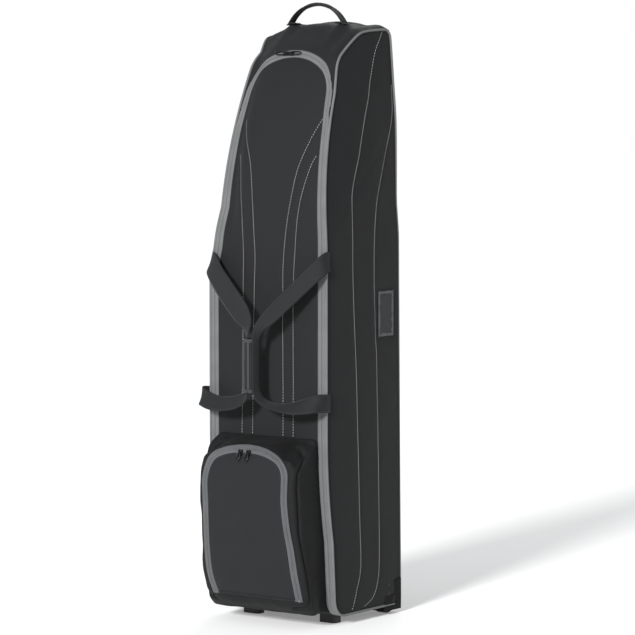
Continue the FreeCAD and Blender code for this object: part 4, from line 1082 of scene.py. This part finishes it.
def make_top():
    """The domed top: one cloth panel from the zip's arch to the back seam."""
    start = 1046.0
    arch = zip_line(-0.3, start)
    columns, rows = 121, 49
    front = resample(mirror_line(arch), columns)
    front = lift_front(front, 0.2)
    edge = side_outline()
    first = int(np.argmax(edge[:, 1] > start))
    turn = int(np.argmax(edge[:, 0] + edge[:, 1] * 0.6))
    rail = resample(edge[first:turn + 1], rows)
    x = half_at(rail[:, 0], rail[:, 1]) - 0.8
    right = np.stack([x, rail[:, 0], rail[:, 1]], 1)
    left = right * [-1, 1, 1]
    front[0], front[-1] = left[0], right[0]
    back = np.linspace(-1, 1, columns) * right[-1, 0]
    back = np.stack([back, np.full(columns, right[-1, 1]), np.full(columns, right[-1, 2])], 1)
    back[:, 2] = crown_at(back[:, 0], back[:, 1] - 2)
    back[0], back[-1] = left[-1], right[-1]
    points = coons(front, back, left, right)
    u = np.abs(np.linspace(-1, 1, columns))[None, :, None]
    v = np.linspace(0, 1, rows)[:, None, None]
    shape = points.shape[:2]
    centre = np.stack([points[..., 0] * 0.5, np.full(shape, 75.0), np.full(shape, 1030.0)], 2)
    pushed = push_onto(points, centre, outside_of_case, 1.5)
    hold = np.minimum(np.minimum(1 - u, 1.0) / 0.06, np.minimum(v, 1 - v) / 0.05).clip(0, 1)
    points = points * (1 - hold) + pushed * hold
    x, y = points[..., 0], points[..., 1]
    sides_gap = (np.abs(x) - HANDLE_SIDE) / 15
    tent = 5.5 * np.exp(-sides_gap ** 2 - ((y - HANDLE_PLACE) / 26) ** 2)
    tent = tent + 2.2 * np.exp(-sides_gap ** 2 - ((y - HANDLE_PLACE) / 70) ** 2)
    near_tabs = np.exp(-((np.abs(x) - 82) / 26) ** 2 - ((y - 90) / 55) ** 2)
    folds = 0.9 * np.sin(((np.abs(x) - HANDLE_SIDE) * 0.8 + (y - HANDLE_PLACE)) / 9.0) * near_tabs
    puff = 1.3 + tent + folds + 0.7 * waves(x, y, 110, 31) + 0.3 * waves(x, y, 45, 32)
    normals = grid_normals(points)
    points = points + normals * (puff * hold[..., 0])[..., None]
    panel = cloth_panel("top_gusset_cloth", points, CLOTH, SHELL)
    put(panel, "case", "shell_fabric", "top_gusset")
    surface = Surface(points)
    seam = resample(mirror_line(wavy(zip_line(-3.0, 1100.0))), 200)
    spots, normals = surface.drop(lift_front(seam), (0, 1, 0))
    fine_stitches("gusset_stitching", spots, normals, "case")
    return surface


def make_back():
    """The back panel, with two rows of stitching along the board pocket inside it."""
    columns, rows = even_steps(300, 6), even_steps(1230, 6)
    top = TOP_EDGE[-1, 1]
    z = np.linspace(BASE + 1, top, rows)[:, None] * np.ones((1, columns))
    across = np.linspace(1, -1, columns)[None, :]
    y = back_at(z)
    x = across * (half_at(y, z) - 0.6)
    raised = crown_at(x[-1], y[-1] - 2) - top
    z = z + raised[None, :] * np.linspace(0, 1, rows)[:, None] ** 6
    y = back_at(z)
    edge = np.minimum((1 - np.abs(across)) * HALF_WIDTH, np.minimum(z - BASE, top - z + 20).clip(0))
    puff = 2.6 * (1 - np.exp(-edge / 18)) + 0.8 * waves(x, z, 240, 41) * (1 - np.exp(-edge / 25))
    for line in (-BACK_SEAM, BACK_SEAM):
        puff = puff - 1.2 * bump(x - line, 5.0) * (z > 95)
    points = np.stack([x, y + puff - 0.6, z], 2)
    panel = cloth_panel("back_panel_cloth", points, CLOTH, SHELL)
    put(panel, "case", "shell_fabric", "back_panel")
    surface = Surface(points)
    for line, side in ((-BACK_SEAM, "left"), (BACK_SEAM, "right")):
        path = np.array([[line, BACK, height] for height in np.linspace(96, 1195, 370)])
        spots, normals = surface.drop(path, (0, -1, 0))
        stitches(f"back_stitching_{side}", spots, normals, "case")


TOP = make_top()
make_back()


# ---------------------------------------------------------------- pocket
POCKET_SIDE = [(-130, 35), (-147, 53), (-158, 83), (-166, 130), (-171, 215), (-175, 300),
               (-174, 345), (-171, 362), (-164, 376), (-152, 385), (-130, 390)]
POCKET_HALF = 131.0
POCKET_CROWN = POCKET_TOP + 12
POCKET_LOW_EDGE, POCKET_HINGE = 28.0, 66.0
POCKET_PROFILE = smooth_path(np.array(POCKET_SIDE, float), 200)
POCKET_ZIP = smooth_path([(114, 58), (118, 100), (117, 165), (113, 215), (110.5, 266), (111, 305),
                          (105, 338), (88, 361), (60, 374), (30, 380), (0, 382)], 220)
POCKET_SKEW = smooth_path([(60, 14), (111, 7), (165, 2.5), (215, -2), (266, -4), (300, -3.5),
                           (337, 1), (370, -1), (392, -3)], 120)


def pocket_face(z):
    """Face of the pocket on its centre line: distance along Y at a height."""
    return np.interp(z, POCKET_PROFILE[:, 1], POCKET_PROFILE[:, 0])


def pocket_round(x):
    """How far the pocket's face falls back towards its sides."""
    return 6 * (np.clip(np.abs(x) - 88, 0, None) / 40) ** 2


def outside_of_pocket(points):
    """How far points are outside the pocket, blended at its soft edges."""
    x, y, z = points[..., 0], points[..., 1], points[..., 2]
    ahead = FRONT - y
    high = np.clip((z - 120) / 180, 0, 1)
    forward = np.clip(ahead / 60, 0, 1)
    x = x - 0.8 * forward * np.interp(z, POCKET_SKEW[:, 0], POCKET_SKEW[:, 1])
    half = POCKET_HALF + 5 * bump(ahead - 26, 34) - np.clip(ahead, 0, None) * (0.03 + 0.07 * high)
    half = half + 6 * forward * np.clip((220 - z) / 120, 0, 1)
    face_gap = (pocket_face(z) + pocket_round(x) - y) * 0.9
    droop = np.clip(ahead / 65, 0, 1) * np.clip((np.abs(x) - 45) / 75, 0, 1) ** 1.6 * 34
    top = POCKET_CROWN - ahead * 0.19 - droop
    gaps = [np.abs(x) - half, z - top, POCKET_LOW_EDGE + ahead * 0.03 - z, face_gap]
    return soft_max(gaps, 3.6) + 1.0


def pocket_line(inset, count=260):
    """The pocket's zip line in the front view: left foot, over the top, right foot. It leans to
    the left above and to the right below."""
    line = np.vstack([POCKET_ZIP * [-1, 1], POCKET_ZIP[::-1][1:]])
    along = tangents(line)
    line = line + inset * np.stack([along[:, 1], -along[:, 0]], 1)
    line[[0, -1], 1] = POCKET_HINGE
    line = resample(line, count)
    line[:, 0] += np.interp(line[:, 1], POCKET_SKEW[:, 0], POCKET_SKEW[:, 1])
    return line


def on_pocket(line, proud=0.0):
    """A front-view line laid on the pocket's face."""
    line = np.asarray(line, float)
    y = pocket_face(line[..., 1]) + pocket_round(line[..., 0])
    return np.stack([line[..., 0], y - proud, line[..., 1]], -1)


def pocket_sag(x, y, z):
    """Soft folds of the pocket's cloth: a valley beside the rim and puckers at the top corners."""
    valley = np.interp(z, [70, 200, 330, 385], [-136, -158, -156, -120])
    rim = 5.5 * bump(y - valley + 3 * np.sin(z / 45.0), 3.4) * (np.abs(x) > 96) * (z < 385)
    pucker = np.exp(-((np.abs(x) - 112) / 26) ** 2 - ((z - 362) / 30) ** 2)
    rays = np.sin((np.abs(x) * 0.85 - (z - 371) * 0.5 + y * 0.35) / 5.5)
    sides = bump(y + 130, 34) * np.clip((z - 60) / 60, 0, 1)
    drape = 2.2 * np.sin((z * 0.9 + y * 1.3) / 24.0) + 1.4 * np.sin((z * 1.25 - y * 0.9) / 15.0 + 1)
    slump = 2.2 * bump(z - 378, 12) * np.sin(x / 33.0 + 0.6)
    return (-rim + 2.4 * pucker * rays + drape * sides * (np.abs(x) > 100) * 0.5 + slump
            + 1.0 * waves(x + y, z, 120, 51) + 0.5 * waves(x - y, z, 50, 52))


def loop_of(parts, counts):
    """A closed ring of points made of open sides."""
    return np.vstack([resample(part, count + 1)[:-1] for part, count in zip(parts, counts)])


def pocket_base():
    """The ring where the pocket is sewn to the front: left side, top, right side, bottom."""
    half, top = POCKET_HALF, POCKET_CROWN
    corner = arc_points((half, top - 14), (half - 14, top), 14.2, 12)
    low = POCKET_LOW_EDGE + LOWEST - BASE + 12
    right = np.vstack([[half, low], corner])
    over = np.array([[-(half - 14), top], [half - 14, top]])
    return right * [-1, 1], over, right[::-1], np.array([[half, low], [-half, low]])


def make_pocket_band():
    """The gathered side band of the soft outer pocket, in the pocket's cloth painted darker as shade."""
    counts = (84, 52, 84, 52)
    base = loop_of(pocket_base(), counts)
    line = pocket_line(0.0, 400)
    corner = int(np.argmax(line[:, 1] > 362))
    parts = (line[:corner + 1], line[corner:400 - corner], line[400 - corner - 1:],
             np.array([line[-1], line[0]]))
    rim = loop_of(parts, counts)
    rows = 44
    steps = np.linspace(0, 1, rows)[:, None, None]
    start = lift_front(base, 0.6)
    end = on_pocket(rim)
    rounding = np.stack([base[:, 0] * 0.985, end[:, 1] * 0.985, start[:, 2]], 1)
    points = (1 - steps) ** 2 * start + 2 * steps * (1 - steps) * rounding + steps ** 2 * end
    centre = np.stack([points[..., 0] * 0.6, np.full(points.shape[:2], -90.0),
                       212 + (points[..., 2] - 212) * 0.6], 2)
    pushed = push_onto(points, centre, outside_of_pocket, 1.6)
    hold = ramp(np.minimum(steps, 1 - steps), 0, 0.1)
    points = points * (1 - hold) + pushed * hold
    ring = np.concatenate([points[:, -1:], points, points[:, :1]], axis=1)
    normals = -grid_normals(ring)[:, 1:-1]
    sag = pocket_sag(points[..., 0], points[..., 1], points[..., 2])
    points = points + normals * (sag * hold[..., 0])[..., None]
    points[..., 2] = np.maximum(points[..., 2], POCKET_LOW_EDGE - 6)
    shell = closed_band("pocket_cloth", points[:, ::-1], POCKET_CLOTH, POCKET_SHADED_BAND)
    put(shell, "case", "pocket_fabric", "pocket_shell")


def make_pocket_front():
    """The puffed panel between the legs of the pocket's zip, with both tapes and the teeth."""
    inner = pocket_line(15.2, 400)
    corner = int(np.argmax(inner[:, 1] > inner[200, 1] - 16))
    left = resample(inner[:corner + 1], 74)
    right = resample(inner[400 - corner - 1:][::-1], 74)
    top = resample(inner[corner:400 - corner], 48)
    bottom = resample([left[0], right[0]], 48)
    top[0], top[-1] = left[-1], right[-1]
    flat = coons(bottom, top, left, right)
    x, z = flat[..., 0], flat[..., 1]
    edge = edge_distance(flat, resample(np.vstack([left, top, right[::-1], bottom[::-1]]), 500))
    fade = 1 - np.exp(-edge / 18)
    puff = 2.5 * (1 - np.exp(-edge / 10)) + 5.5 * (1 - np.exp(-edge / 55))
    puff = puff + fade * (1.3 * waves(x, z, 150, 61) + 0.6 * waves(x, z, 60, 62))
    puff = puff + fade * 1.2 * np.sin((x * 0.8 + z) / 30.0) * bump(z - 215, 70)
    puff = puff + 0.9 * np.exp(-edge / 2.5)
    face = on_pocket(flat, puff)
    panel = cloth_panel("pocket_panel_cloth", face, POCKET_CLOTH, POCKET)
    put(panel, "pocket_flap", "pocket_fabric", "pocket_panel")
    surface = Surface(face)
    stitch_line = pocket_line(17.6, 300)[4:-4]
    spots, normals = surface.drop(on_pocket(stitch_line), (0, 1, 0))
    fine_stitches("pocket_panel_stitching", spots, normals, "pocket_flap", 3.4)
    for name, low, high, body, stands_for in (
            ("pocket_tape_outer", -0.6, 7.3, "case", "pocket_zip_tape_outer"),
            ("pocket_tape_inner", 8.0, 15.6, "pocket_flap", "pocket_zip_tape_inner")):
        first, last = on_pocket(pocket_line(low)), on_pocket(pocket_line(high))
        columns = 6
        steps = np.linspace(0, 1, columns)
        grid = first[:, None] * (1 - steps[None, :, None]) + last[:, None] * steps[None, :, None]
        grid[..., 1] -= 0.6 + 0.5 * np.sin(steps * math.pi)
        band = cloth_panel(name, grid, TAPE_THICKNESS, POCKET_TAPE)
        weave_tape(band, 9, length_of(first), len(first), columns)
        put(band, body, "zip_tape", stands_for)
    teeth = on_pocket(pocket_line(7.65), 0.9)
    forward = np.tile([0.0, -1.0, 0.0], (len(teeth), 1))
    coil("pocket_zip_teeth", teeth, forward, "case", 1.7, 4.0, 0.62)


def closed_band(name, points, thickness, material):
    """A closed ring of cloth from outer points: rows go across it, columns go round."""
    ring = np.concatenate([points[:, -1:], points, points[:, :1]], axis=1)
    normals = grid_normals(ring)[:, 1:-1]
    inner = points - normals * thickness
    rows, columns = points.shape[:2]
    count = rows * columns
    faces = grid_faces(rows, columns, wrap_columns=True)
    faces += [tuple(index + count for index in face[::-1]) for face in faces]
    for row, turn in ((0, 1), (rows - 1, -1)):
        for column in range(columns):
            here, there = row * columns + column, row * columns + (column + 1) % columns
            faces.append((there, here, here + count, there + count)[::turn])
    along = np.linspace(0, 1000, columns)[None, :] * np.ones((rows, 1))
    across = np.concatenate([np.zeros((1, columns)), np.cumsum(
        np.linalg.norm(np.diff(points, axis=0), axis=2), axis=0)])
    uv = np.stack([along.ravel(), across.ravel()], 1)
    vertices = np.vstack([points.reshape(-1, 3), inner.reshape(-1, 3)])
    return new_object(name, vertices, faces, material, np.vstack([uv, uv]))


make_pocket_band()
make_pocket_front()


# ---------------------------------------------------------------- webbing handles
GRIP_CENTRE, GRIP_CLEAR = 600.0, 24.0
SEAM_HEIGHTS = {"right": (765.0, 473.0), "left": (757.0, 473.0)}
HANDLE_LEFT = [  # place, then the direction of the webbing's width, then width
    ((-154, -91, 757), (0, 0, 1), 38), ((-153, -97, 757), (0.08, 0, 1), 40),
    ((-147, -103, 756), (0.28, 0, 0.96), 43), ((-138, -110, 748), (0.45, -0.05, 0.88), 46),
    ((-120, -119, 733), (0.55, -0.05, 0.83), 48), ((-90, -131, 708), (0.6, -0.05, 0.79), 50),
    ((-58, -142, 681), (0.62, -0.03, 0.78), 50), ((-30, -149, 656), (0.66, 0, 0.75), 46),
    ((-15, -151.5, 635), (0.8, -0.15, 0.5), 36), ((-12, -152, 612), (0.7, -0.6, 0.2), 24),
    ((-11, -151, 582), (0.25, -1, 0), 19), ((-10.5, -151, 545), (0.2, -1, 0), 18),
    ((-11, -151, 512), (0.25, -1, 0), 19), ((-9, -151, 492), (0.4, -0.8, -0.3), 27),
    ((-18, -150.5, 479), (0.3, -0.65, -0.65), 33), ((-38, -148.5, 470), (0.05, -0.6, -0.8), 36),
    ((-61, -146, 464.5), (0, -0.6, -0.8), 36), ((-92, -142, 461.5), (0, -0.6, -0.8), 36),
    ((-122, -136, 464), (0, -0.5, -0.87), 36), ((-147, -129, 471), (0, -0.4, -0.92), 36),
    ((-157, -119, 474), (0, -0.25, -0.97), 37), ((-158, -106, 474), (0, -0.1, -1), 38),
    ((-155, -97, 473), (0, 0, -1), 38), ((-154, -91, 473), (0, 0, -1), 38),
]
HANDLE_RIGHT = [
    ((154, -91, 767), (0, 0, 1), 38), ((154, -98, 767), (0, 0, 1), 38),
    ((151, -109, 758), (-0.15, 0, 0.98), 38), ((141, -118, 746), (-0.35, -0.05, 0.93), 37),
    ((124, -126, 728), (-0.48, -0.05, 0.87), 36), ((98, -135, 702), (-0.55, -0.03, 0.83), 36),
    ((70, -142, 676), (-0.58, 0, 0.81), 36), ((45, -147, 652), (-0.62, 0.05, 0.78), 34),
    ((27, -150.5, 636), (-0.72, 0.1, 0.6), 28), ((15, -151.5, 618), (-0.6, -0.5, 0.3), 21),
    ((11, -151, 595), (-0.35, -0.9, 0.1), 18), ((10, -150.5, 545), (-0.3, -0.95, 0), 17),
    ((10.5, -150.5, 508), (-0.3, -0.95, 0), 18), ((14, -151, 488), (-0.4, -0.85, -0.1), 20),
    ((28, -150.5, 474), (-0.2, -0.97, -0.15), 26), ((54, -149, 466), (-0.1, -0.97, -0.25), 32),
    ((85, -147, 463.5), (0, -0.85, -0.5), 36), ((107, -143, 464.5), (0, -0.72, -0.7), 37),
    ((130, -136, 469), (0, -0.55, -0.83), 38), ((147, -128, 473.5), (0, -0.4, -0.92), 38),
    ((156, -116, 474), (0, -0.2, -0.98), 38), ((158, -103, 473), (0, 0, -1), 38),
    ((156, -96, 473), (0, 0, -1), 38), ((155.5, -90, 473), (0, 0, -1), 38),
]


def webbing_strip(name, controls, thickness, body, count=190, material=WEBBING):
    """A band of woven webbing: its width twists and folds as the control points say."""
    columns = 9
    data = np.array([[*place, *across, width] for place, across, width in controls], float)
    fine = smooth_path(data, count, passes=2)
    path, across, width = fine[:, :3], fine[:, 3:6], fine[:, 6]
    direction = tangents(path)
    across = unit(across - direction * (across * direction).sum(1, keepdims=True))
    normals = np.cross(direction, across)
    share = np.linspace(-0.5, 0.5, columns)
    cup = (share ** 2 - 0.08) * 1.6
    edge = 1 - 0.45 * np.exp(-(0.5 - np.abs(share)) / 0.03)
    mid = path[:, None] + across[:, None] * share[None, :, None] * width[:, None, None]
    mid = mid + normals[:, None] * cup[None, :, None]
    upper = mid + normals[:, None] * (thickness / 2 * edge)[None, :, None]
    lower = mid - normals[:, None] * (thickness / 2 * edge)[None, :, None]
    rings = np.concatenate([upper, lower[:, ::-1]], axis=1)
    rows, wide = rings.shape[:2]
    faces = grid_faces(rows, wide, wrap_columns=True) + end_faces(rows, wide)
    sideways = np.broadcast_to(np.concatenate([share, share[::-1]]) * WEBBING_WIDTH, (rows, wide))
    uv = np.stack([sideways, np.repeat(distances(path)[:, None], wide, 1)], 2)
    item = new_object(name, rings.reshape(-1, 3), faces, material, uv.reshape(-1, 2))
    put(item, body, "webbing")
    return item, path, across, normals, width


def edge_rows(name, path, across, normals, width, thickness, body, keep, inset=3.2):
    """Two rows of stitching along the edges of webbing, on the face that shows."""
    for side, sign in (("a", 1), ("b", -1)):
        shift = across * (sign * (width / 2 - inset))[:, None]
        cup = ((0.5 - inset / width) ** 2 - 0.08) * 1.6
        line = (path + shift + normals * (cup + thickness / 2)[:, None])[keep]
        line = resample(np.hstack([line, normals[keep]]), max(int(length_of(line) / 3), 4))
        fine_stitches(f"{name}_{side}", line[:, :3], unit(line[:, 3:]), body, proud=0.0)


def make_grab_handles():
    """Left and right webbing loops: sewn in the side seams, joined in the wrapped grip."""
    for side, controls in (("left", HANDLE_LEFT), ("right", HANDLE_RIGHT)):
        body = f"handle_{side}"
        strip, path, across, normals, width = webbing_strip(
            f"grab_webbing_{side}", controls, WEBBING_THICKNESS, body)
        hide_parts(f"handle_webbing_{side}")
        if normals[60, 1] > 0:
            normals = -normals
        shown = np.abs(path[:, 0]) > GRIP_CLEAR
        upper = path[:, 2] > GRIP_CENTRE
        for half, keep in (("upper", shown & upper), ("lower", shown & ~upper)):
            edge_rows(f"grab_stitching_{side}_{half}", path, across, normals, width,
                      WEBBING_THICKNESS, body, keep)


def make_seam_tabs():
    """The short cloth tabs on the side panels that cover the sewn ends of both handles."""
    for side, sign in (("right", 1), ("left", -1)):
        for label, height in zip(("upper", "lower"), SEAM_HEIGHTS[side]):
            places = [((sign * (HALF_WIDTH + 1.6 + 0.05 * step), FRONT + 3.5 + step, height),
                       (0, 0, 1), 41.0) for step in (0.0, 2.5, 5.0, 7.5)]
            webbing_strip(f"seam_tab_{side}_{label}", places, 1.0, "case", 10, SHELL)[0]
    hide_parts("handle_patches")


GRIP_LOW, GRIP_HIGH = 490.0, 603.0


def grip_sheet(name, plan, thickness, body, stands_for):
    """A padded sheet that follows a curve in the plan view, with bound upper and lower edges."""
    rows, columns = 30, 34
    plan = smooth_path(plan, columns)
    height = np.linspace(GRIP_LOW, GRIP_HIGH, rows)
    swell = 1 + 0.08 * np.sin(math.pi * (height - GRIP_LOW) / (GRIP_HIGH - GRIP_LOW))[:, None]
    centre = plan.mean(0)
    wrinkle = 0.35 * waves(plan[None, :, 0] * 2, height[:, None], 26, 71)
    points = np.stack([centre[0] + (plan[None, :, 0] - centre[0]) * swell + wrinkle * 0.4,
                       centre[1] + (plan[None, :, 1] - centre[1]) * swell - wrinkle,
                       np.repeat(height[:, None], columns, 1)], 2)
    item = cloth_panel(name, points, thickness, GRIP)
    put(item, body, "grip", stands_for)
    normals = grid_normals(points)
    for edge, row in (("low", 1), ("high", rows - 2)):
        path = points[row] + normals[row] * 0.2
        band = swept(f"{name}_binding_{edge}", path, np.tile([0.0, 0.0, 1.0], (columns, 1)), normals[row],
                     flat_profile(7.0, 1.4), BINDING)
        put(band, body, "grip")
    return item, points, normals


def make_grip():
    """The wrap that joins the two handles: a padded sleeve round the left strap and a closing
    flap in front of it with a bound free edge."""
    sleeve = [(-5, -142.5), (-14, -143), (-18.6, -148), (-18.2, -155), (-13, -157.8), (-6, -158.4)]
    pad = grip_sheet("grip_pad_cloth", sleeve, 2.4, "handle_left", "grip_pad")[0]
    flap_plan = [(-16.8, -156.6), (-14, -159.4), (-9, -161.0), (-1, -161.4), (4.0, -159.8),
                 (6.6, -155.6), (6.2, -150.5)]
    flap, points, normals = grip_sheet("grip_flap_cloth", flap_plan, 1.8, "grip_flap", "grip_flap")
    for label, column, width in (("edge", 4, 6.5), ("seam", 17, 5.0)):
        path = points[1:-1, column] + normals[1:-1, column] * 0.5
        band = swept(f"grip_{label}_binding", path, np.tile([1.0, 0.0, 0.0], (len(path), 1)),
                     normals[1:-1, column], flat_profile(width, 1.5), BINDING)
        put(band, "grip_flap", "grip")


def make_top_handle():
    """The arched carrying handle: webbing legs, a rolled sleeve and the sewn tabs under it."""
    radius, reach, top = 80.0, HANDLE_SIDE, 1300.6
    middle = top - radius
    turn = math.asin(reach / radius)
    angles = np.linspace(-turn, turn, 61)
    arch = [((math.sin(a) * radius, HANDLE_PLACE, middle + math.cos(a) * radius), (0, 1, 0),
             22.0 - 7.0 * math.exp(-(a / 0.35) ** 4)) for a in angles]
    feet = [((-reach - 6.5, HANDLE_PLACE, arch[0][0][2] - 9.0), (0, 1, 0), 22.0)]
    feet_right = [((reach + 6.5, HANDLE_PLACE, arch[-1][0][2] - 9.0), (0, 1, 0), 22.0)]
    controls = feet + arch[::5] + feet_right
    strip = webbing_strip("top_handle_band", controls, 2.6, "top_handle", 110)[0]
    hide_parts("top_handle_webbing")
    rings, around = 36, 20
    sleeve_angles = np.linspace(-0.46, 0.46, rings)
    centre = np.stack([np.sin(sleeve_angles) * radius, np.full(rings, HANDLE_PLACE),
                       middle + np.cos(sleeve_angles) * radius], 1)
    sides = np.tile([0.0, 1.0, 0.0], (rings, 1))
    outward = np.cross(tangents(centre), sides) * -1
    taper = 1 - 0.22 * np.abs(np.linspace(-1, 1, rings)) ** 3
    profile = np.stack([round_profile(10.5, around, 0.36) * share for share in taper])
    profile[:, :, 1] += 0.25 * np.sin(np.arange(around) * 2.1)[None, :]
    sleeve = swept("top_handle_wrap", centre, sides, outward, profile, GRIP)
    put(sleeve, "top_handle", "grip", "top_handle_sleeve")
    for side, sign in (("left", -1), ("right", 1)):
        above = [[sign * (52 + step * 5.5), HANDLE_PLACE, 1290] for step in range(5)]
        seat = TOP.drop(above, (0, 0, -1))[0]
        seat[:, 2] += np.array([3.0, 2.2, 1.8, 1.5, 1.3])
        controls = [(tuple(place), (0, 1, 0), 24.0) for place in seat]
        tab, path = webbing_strip(f"handle_tab_{side}", controls, 2.2, "case", 26)[:2]
        for label, row in (("a", -8.5), ("b", 8.5)):
            line = resample(path + [0, row, 1.6], 14)
            upward = np.tile([0.0, 0.0, 1.0], (len(line), 1))
            fine_stitches(f"tab_thread_{side}_{label}", line, upward, "case", 3.4)
    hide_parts("top_handle_tabs")


make_grab_handles()
make_seam_tabs()
make_grip()
make_top_handle()


# ---------------------------------------------------------------- zip pulls
PULL_HALF_WIDTH = 3.6


def make_pulls():
    """Looped pulls that hang from the sliders."""
    for joint in frame["record"]["behaviour"]["joints"]:
        if "_pull_" not in joint["name"]:
            continue
        node = joint["child"]
        pin = np.array(joint["pos_m"]) / MM
        side = unit(np.array(joint["axis"], float))
        low, high = node_box(node)
        reach = (low + high) / 2 - pin
        reach = reach - side * (reach @ side)
        length = 2 * np.linalg.norm(reach) + 1.0
        ahead = unit(reach)
        turns = np.linspace(0, 2 * math.pi, 40, endpoint=False)
        forward = np.sign(np.sin(turns)) * np.abs(np.sin(turns)) ** 0.6
        path = (pin + ahead * (length / 2 - 1.0) + ahead * forward[:, None] * (length / 2 - 0.5)
                + side * (np.cos(turns) * PULL_HALF_WIDTH)[:, None])
        loop = tube(f"{node}_loop", path, 1.25, SLIDER, closed=True, guide=np.cross(side, ahead))
        put(loop, node, "zip_metal", node)


# ---------------------------------------------------------------- inside of the case
def inner_webbing(name, places, body, count):
    """A band of the thinner webbing inside, upright along its places."""
    return webbing_strip(name, [(place, (0, 0, 1), 25.0) for place in places], 1.6, body, count)[0]


def make_inside():
    """The quilted head padding and the two straps that hold the clubs."""
    low, high = node_box("head_padding")
    rows, columns = 72, 64
    z = np.linspace(low[2] + 1, high[2] - 1, rows)[:, None] * np.ones((1, columns))
    x = np.linspace(low[0] + 2, high[0] - 2, columns)[None, :] * np.ones((rows, 1))
    rear = back_at(z) - (back_at(low[2]) - high[1]) - 0.2
    edge = np.minimum(np.minimum(x - low[0], high[0] - x), np.minimum(z - low[2], high[2] - z))
    puff = 1.5 + 9.0 * (1 - np.exp(-edge / 9))
    for channel in np.linspace(low[2], high[2], 6)[1:-1]:
        puff = puff - 4.5 * bump(z - channel, 7)
    puff = puff + 0.5 * waves(x, z, 60, 81)
    front = np.stack([x, rear - puff, z], 2)
    pad = cloth_panel("head_pad", front, 0, FOAM, inner=np.stack([x, rear, z], 2))
    put(pad, "case", "foam", "head_padding")
    low, high = node_box("inner_straps")
    for label, height in (("lower", low[2] + 12.5), ("upper", high[2] - 12.5)):
        level = back_at(height) - (back_at(low[2]) - high[1]) - 2.0
        places = [(low[0] + 2, level, height), (low[0] + 30, level - 1.5, height),
                  (-55, level - 2, height), (high[0] - 1, level, height)]
        strap = inner_webbing(f"inner_strap_{label}", places, "case", 40)
        if label == "lower":
            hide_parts("inner_straps")
        tail = f"strap_tail_{label}"
        first, last = node_box(tail)
        level = (first[1] + last[1]) / 2
        places = [(first[0] + step * (last[0] - first[0]), level - sag, height) for step, sag in
                  ((0.01, 0), (0.3, 1.0), (0.6, -0.6), (0.85, 0.6), (0.99, 0.2))]
        band = inner_webbing(f"strap_band_{label}", places, f"buckle_{label}", 44)
        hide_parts(tail)


# ---------------------------------------------------------------- moulded and metal parts
def dress(material, edge, *names):
    """Give CAD parts that keep their shape a material and softly rounded edges."""
    for name in names:
        item = nodes[name]
        item.data.materials.clear()
        item.data.materials.append(material)
        weld = item.modifiers.new("weld", "WELD")
        weld.merge_threshold = 0.00001
        rounding = item.modifiers.new("rounded", "BEVEL")
        rounding.width = edge * MM
        rounding.segments = 2
        rounding.limit_method = "ANGLE"
        rounding.angle_limit = math.radians(40)


make_pulls()
make_inside()
dress(GUARD, 1.5, "base_tray", "wheel_housing_left", "wheel_housing_right")
dress(BOARD, 0.8, "base_board", "back_board")
dress(TYRE, 1.5, "wheel_tyre_left", "wheel_tyre_right")
dress(HUB, 0.5, "wheel_hub_left", "wheel_hub_right")
dress(STEEL, 0.2, "wheel_bearings_left", "wheel_bearings_right")
dress(DARK_STEEL, 0.3, "housing_screws", "foot_screws", "axle_bolts", "axle_nuts")
dress(FOOT_RUBBER, 1.5, "front_feet")
dress(SLIDER, 0.5, "main_slider_left", "main_slider_right", "pocket_slider_left", "pocket_slider_right")
dress(BUCKLE, 0.7, "buckle_sockets", "buckle_plug_lower", "buckle_plug_upper")
dress(VINYL_EDGE, 0.3, "id_frame")
dress(CARD, 0.1, "id_card")
dress(VINYL, 0.1, "id_window")
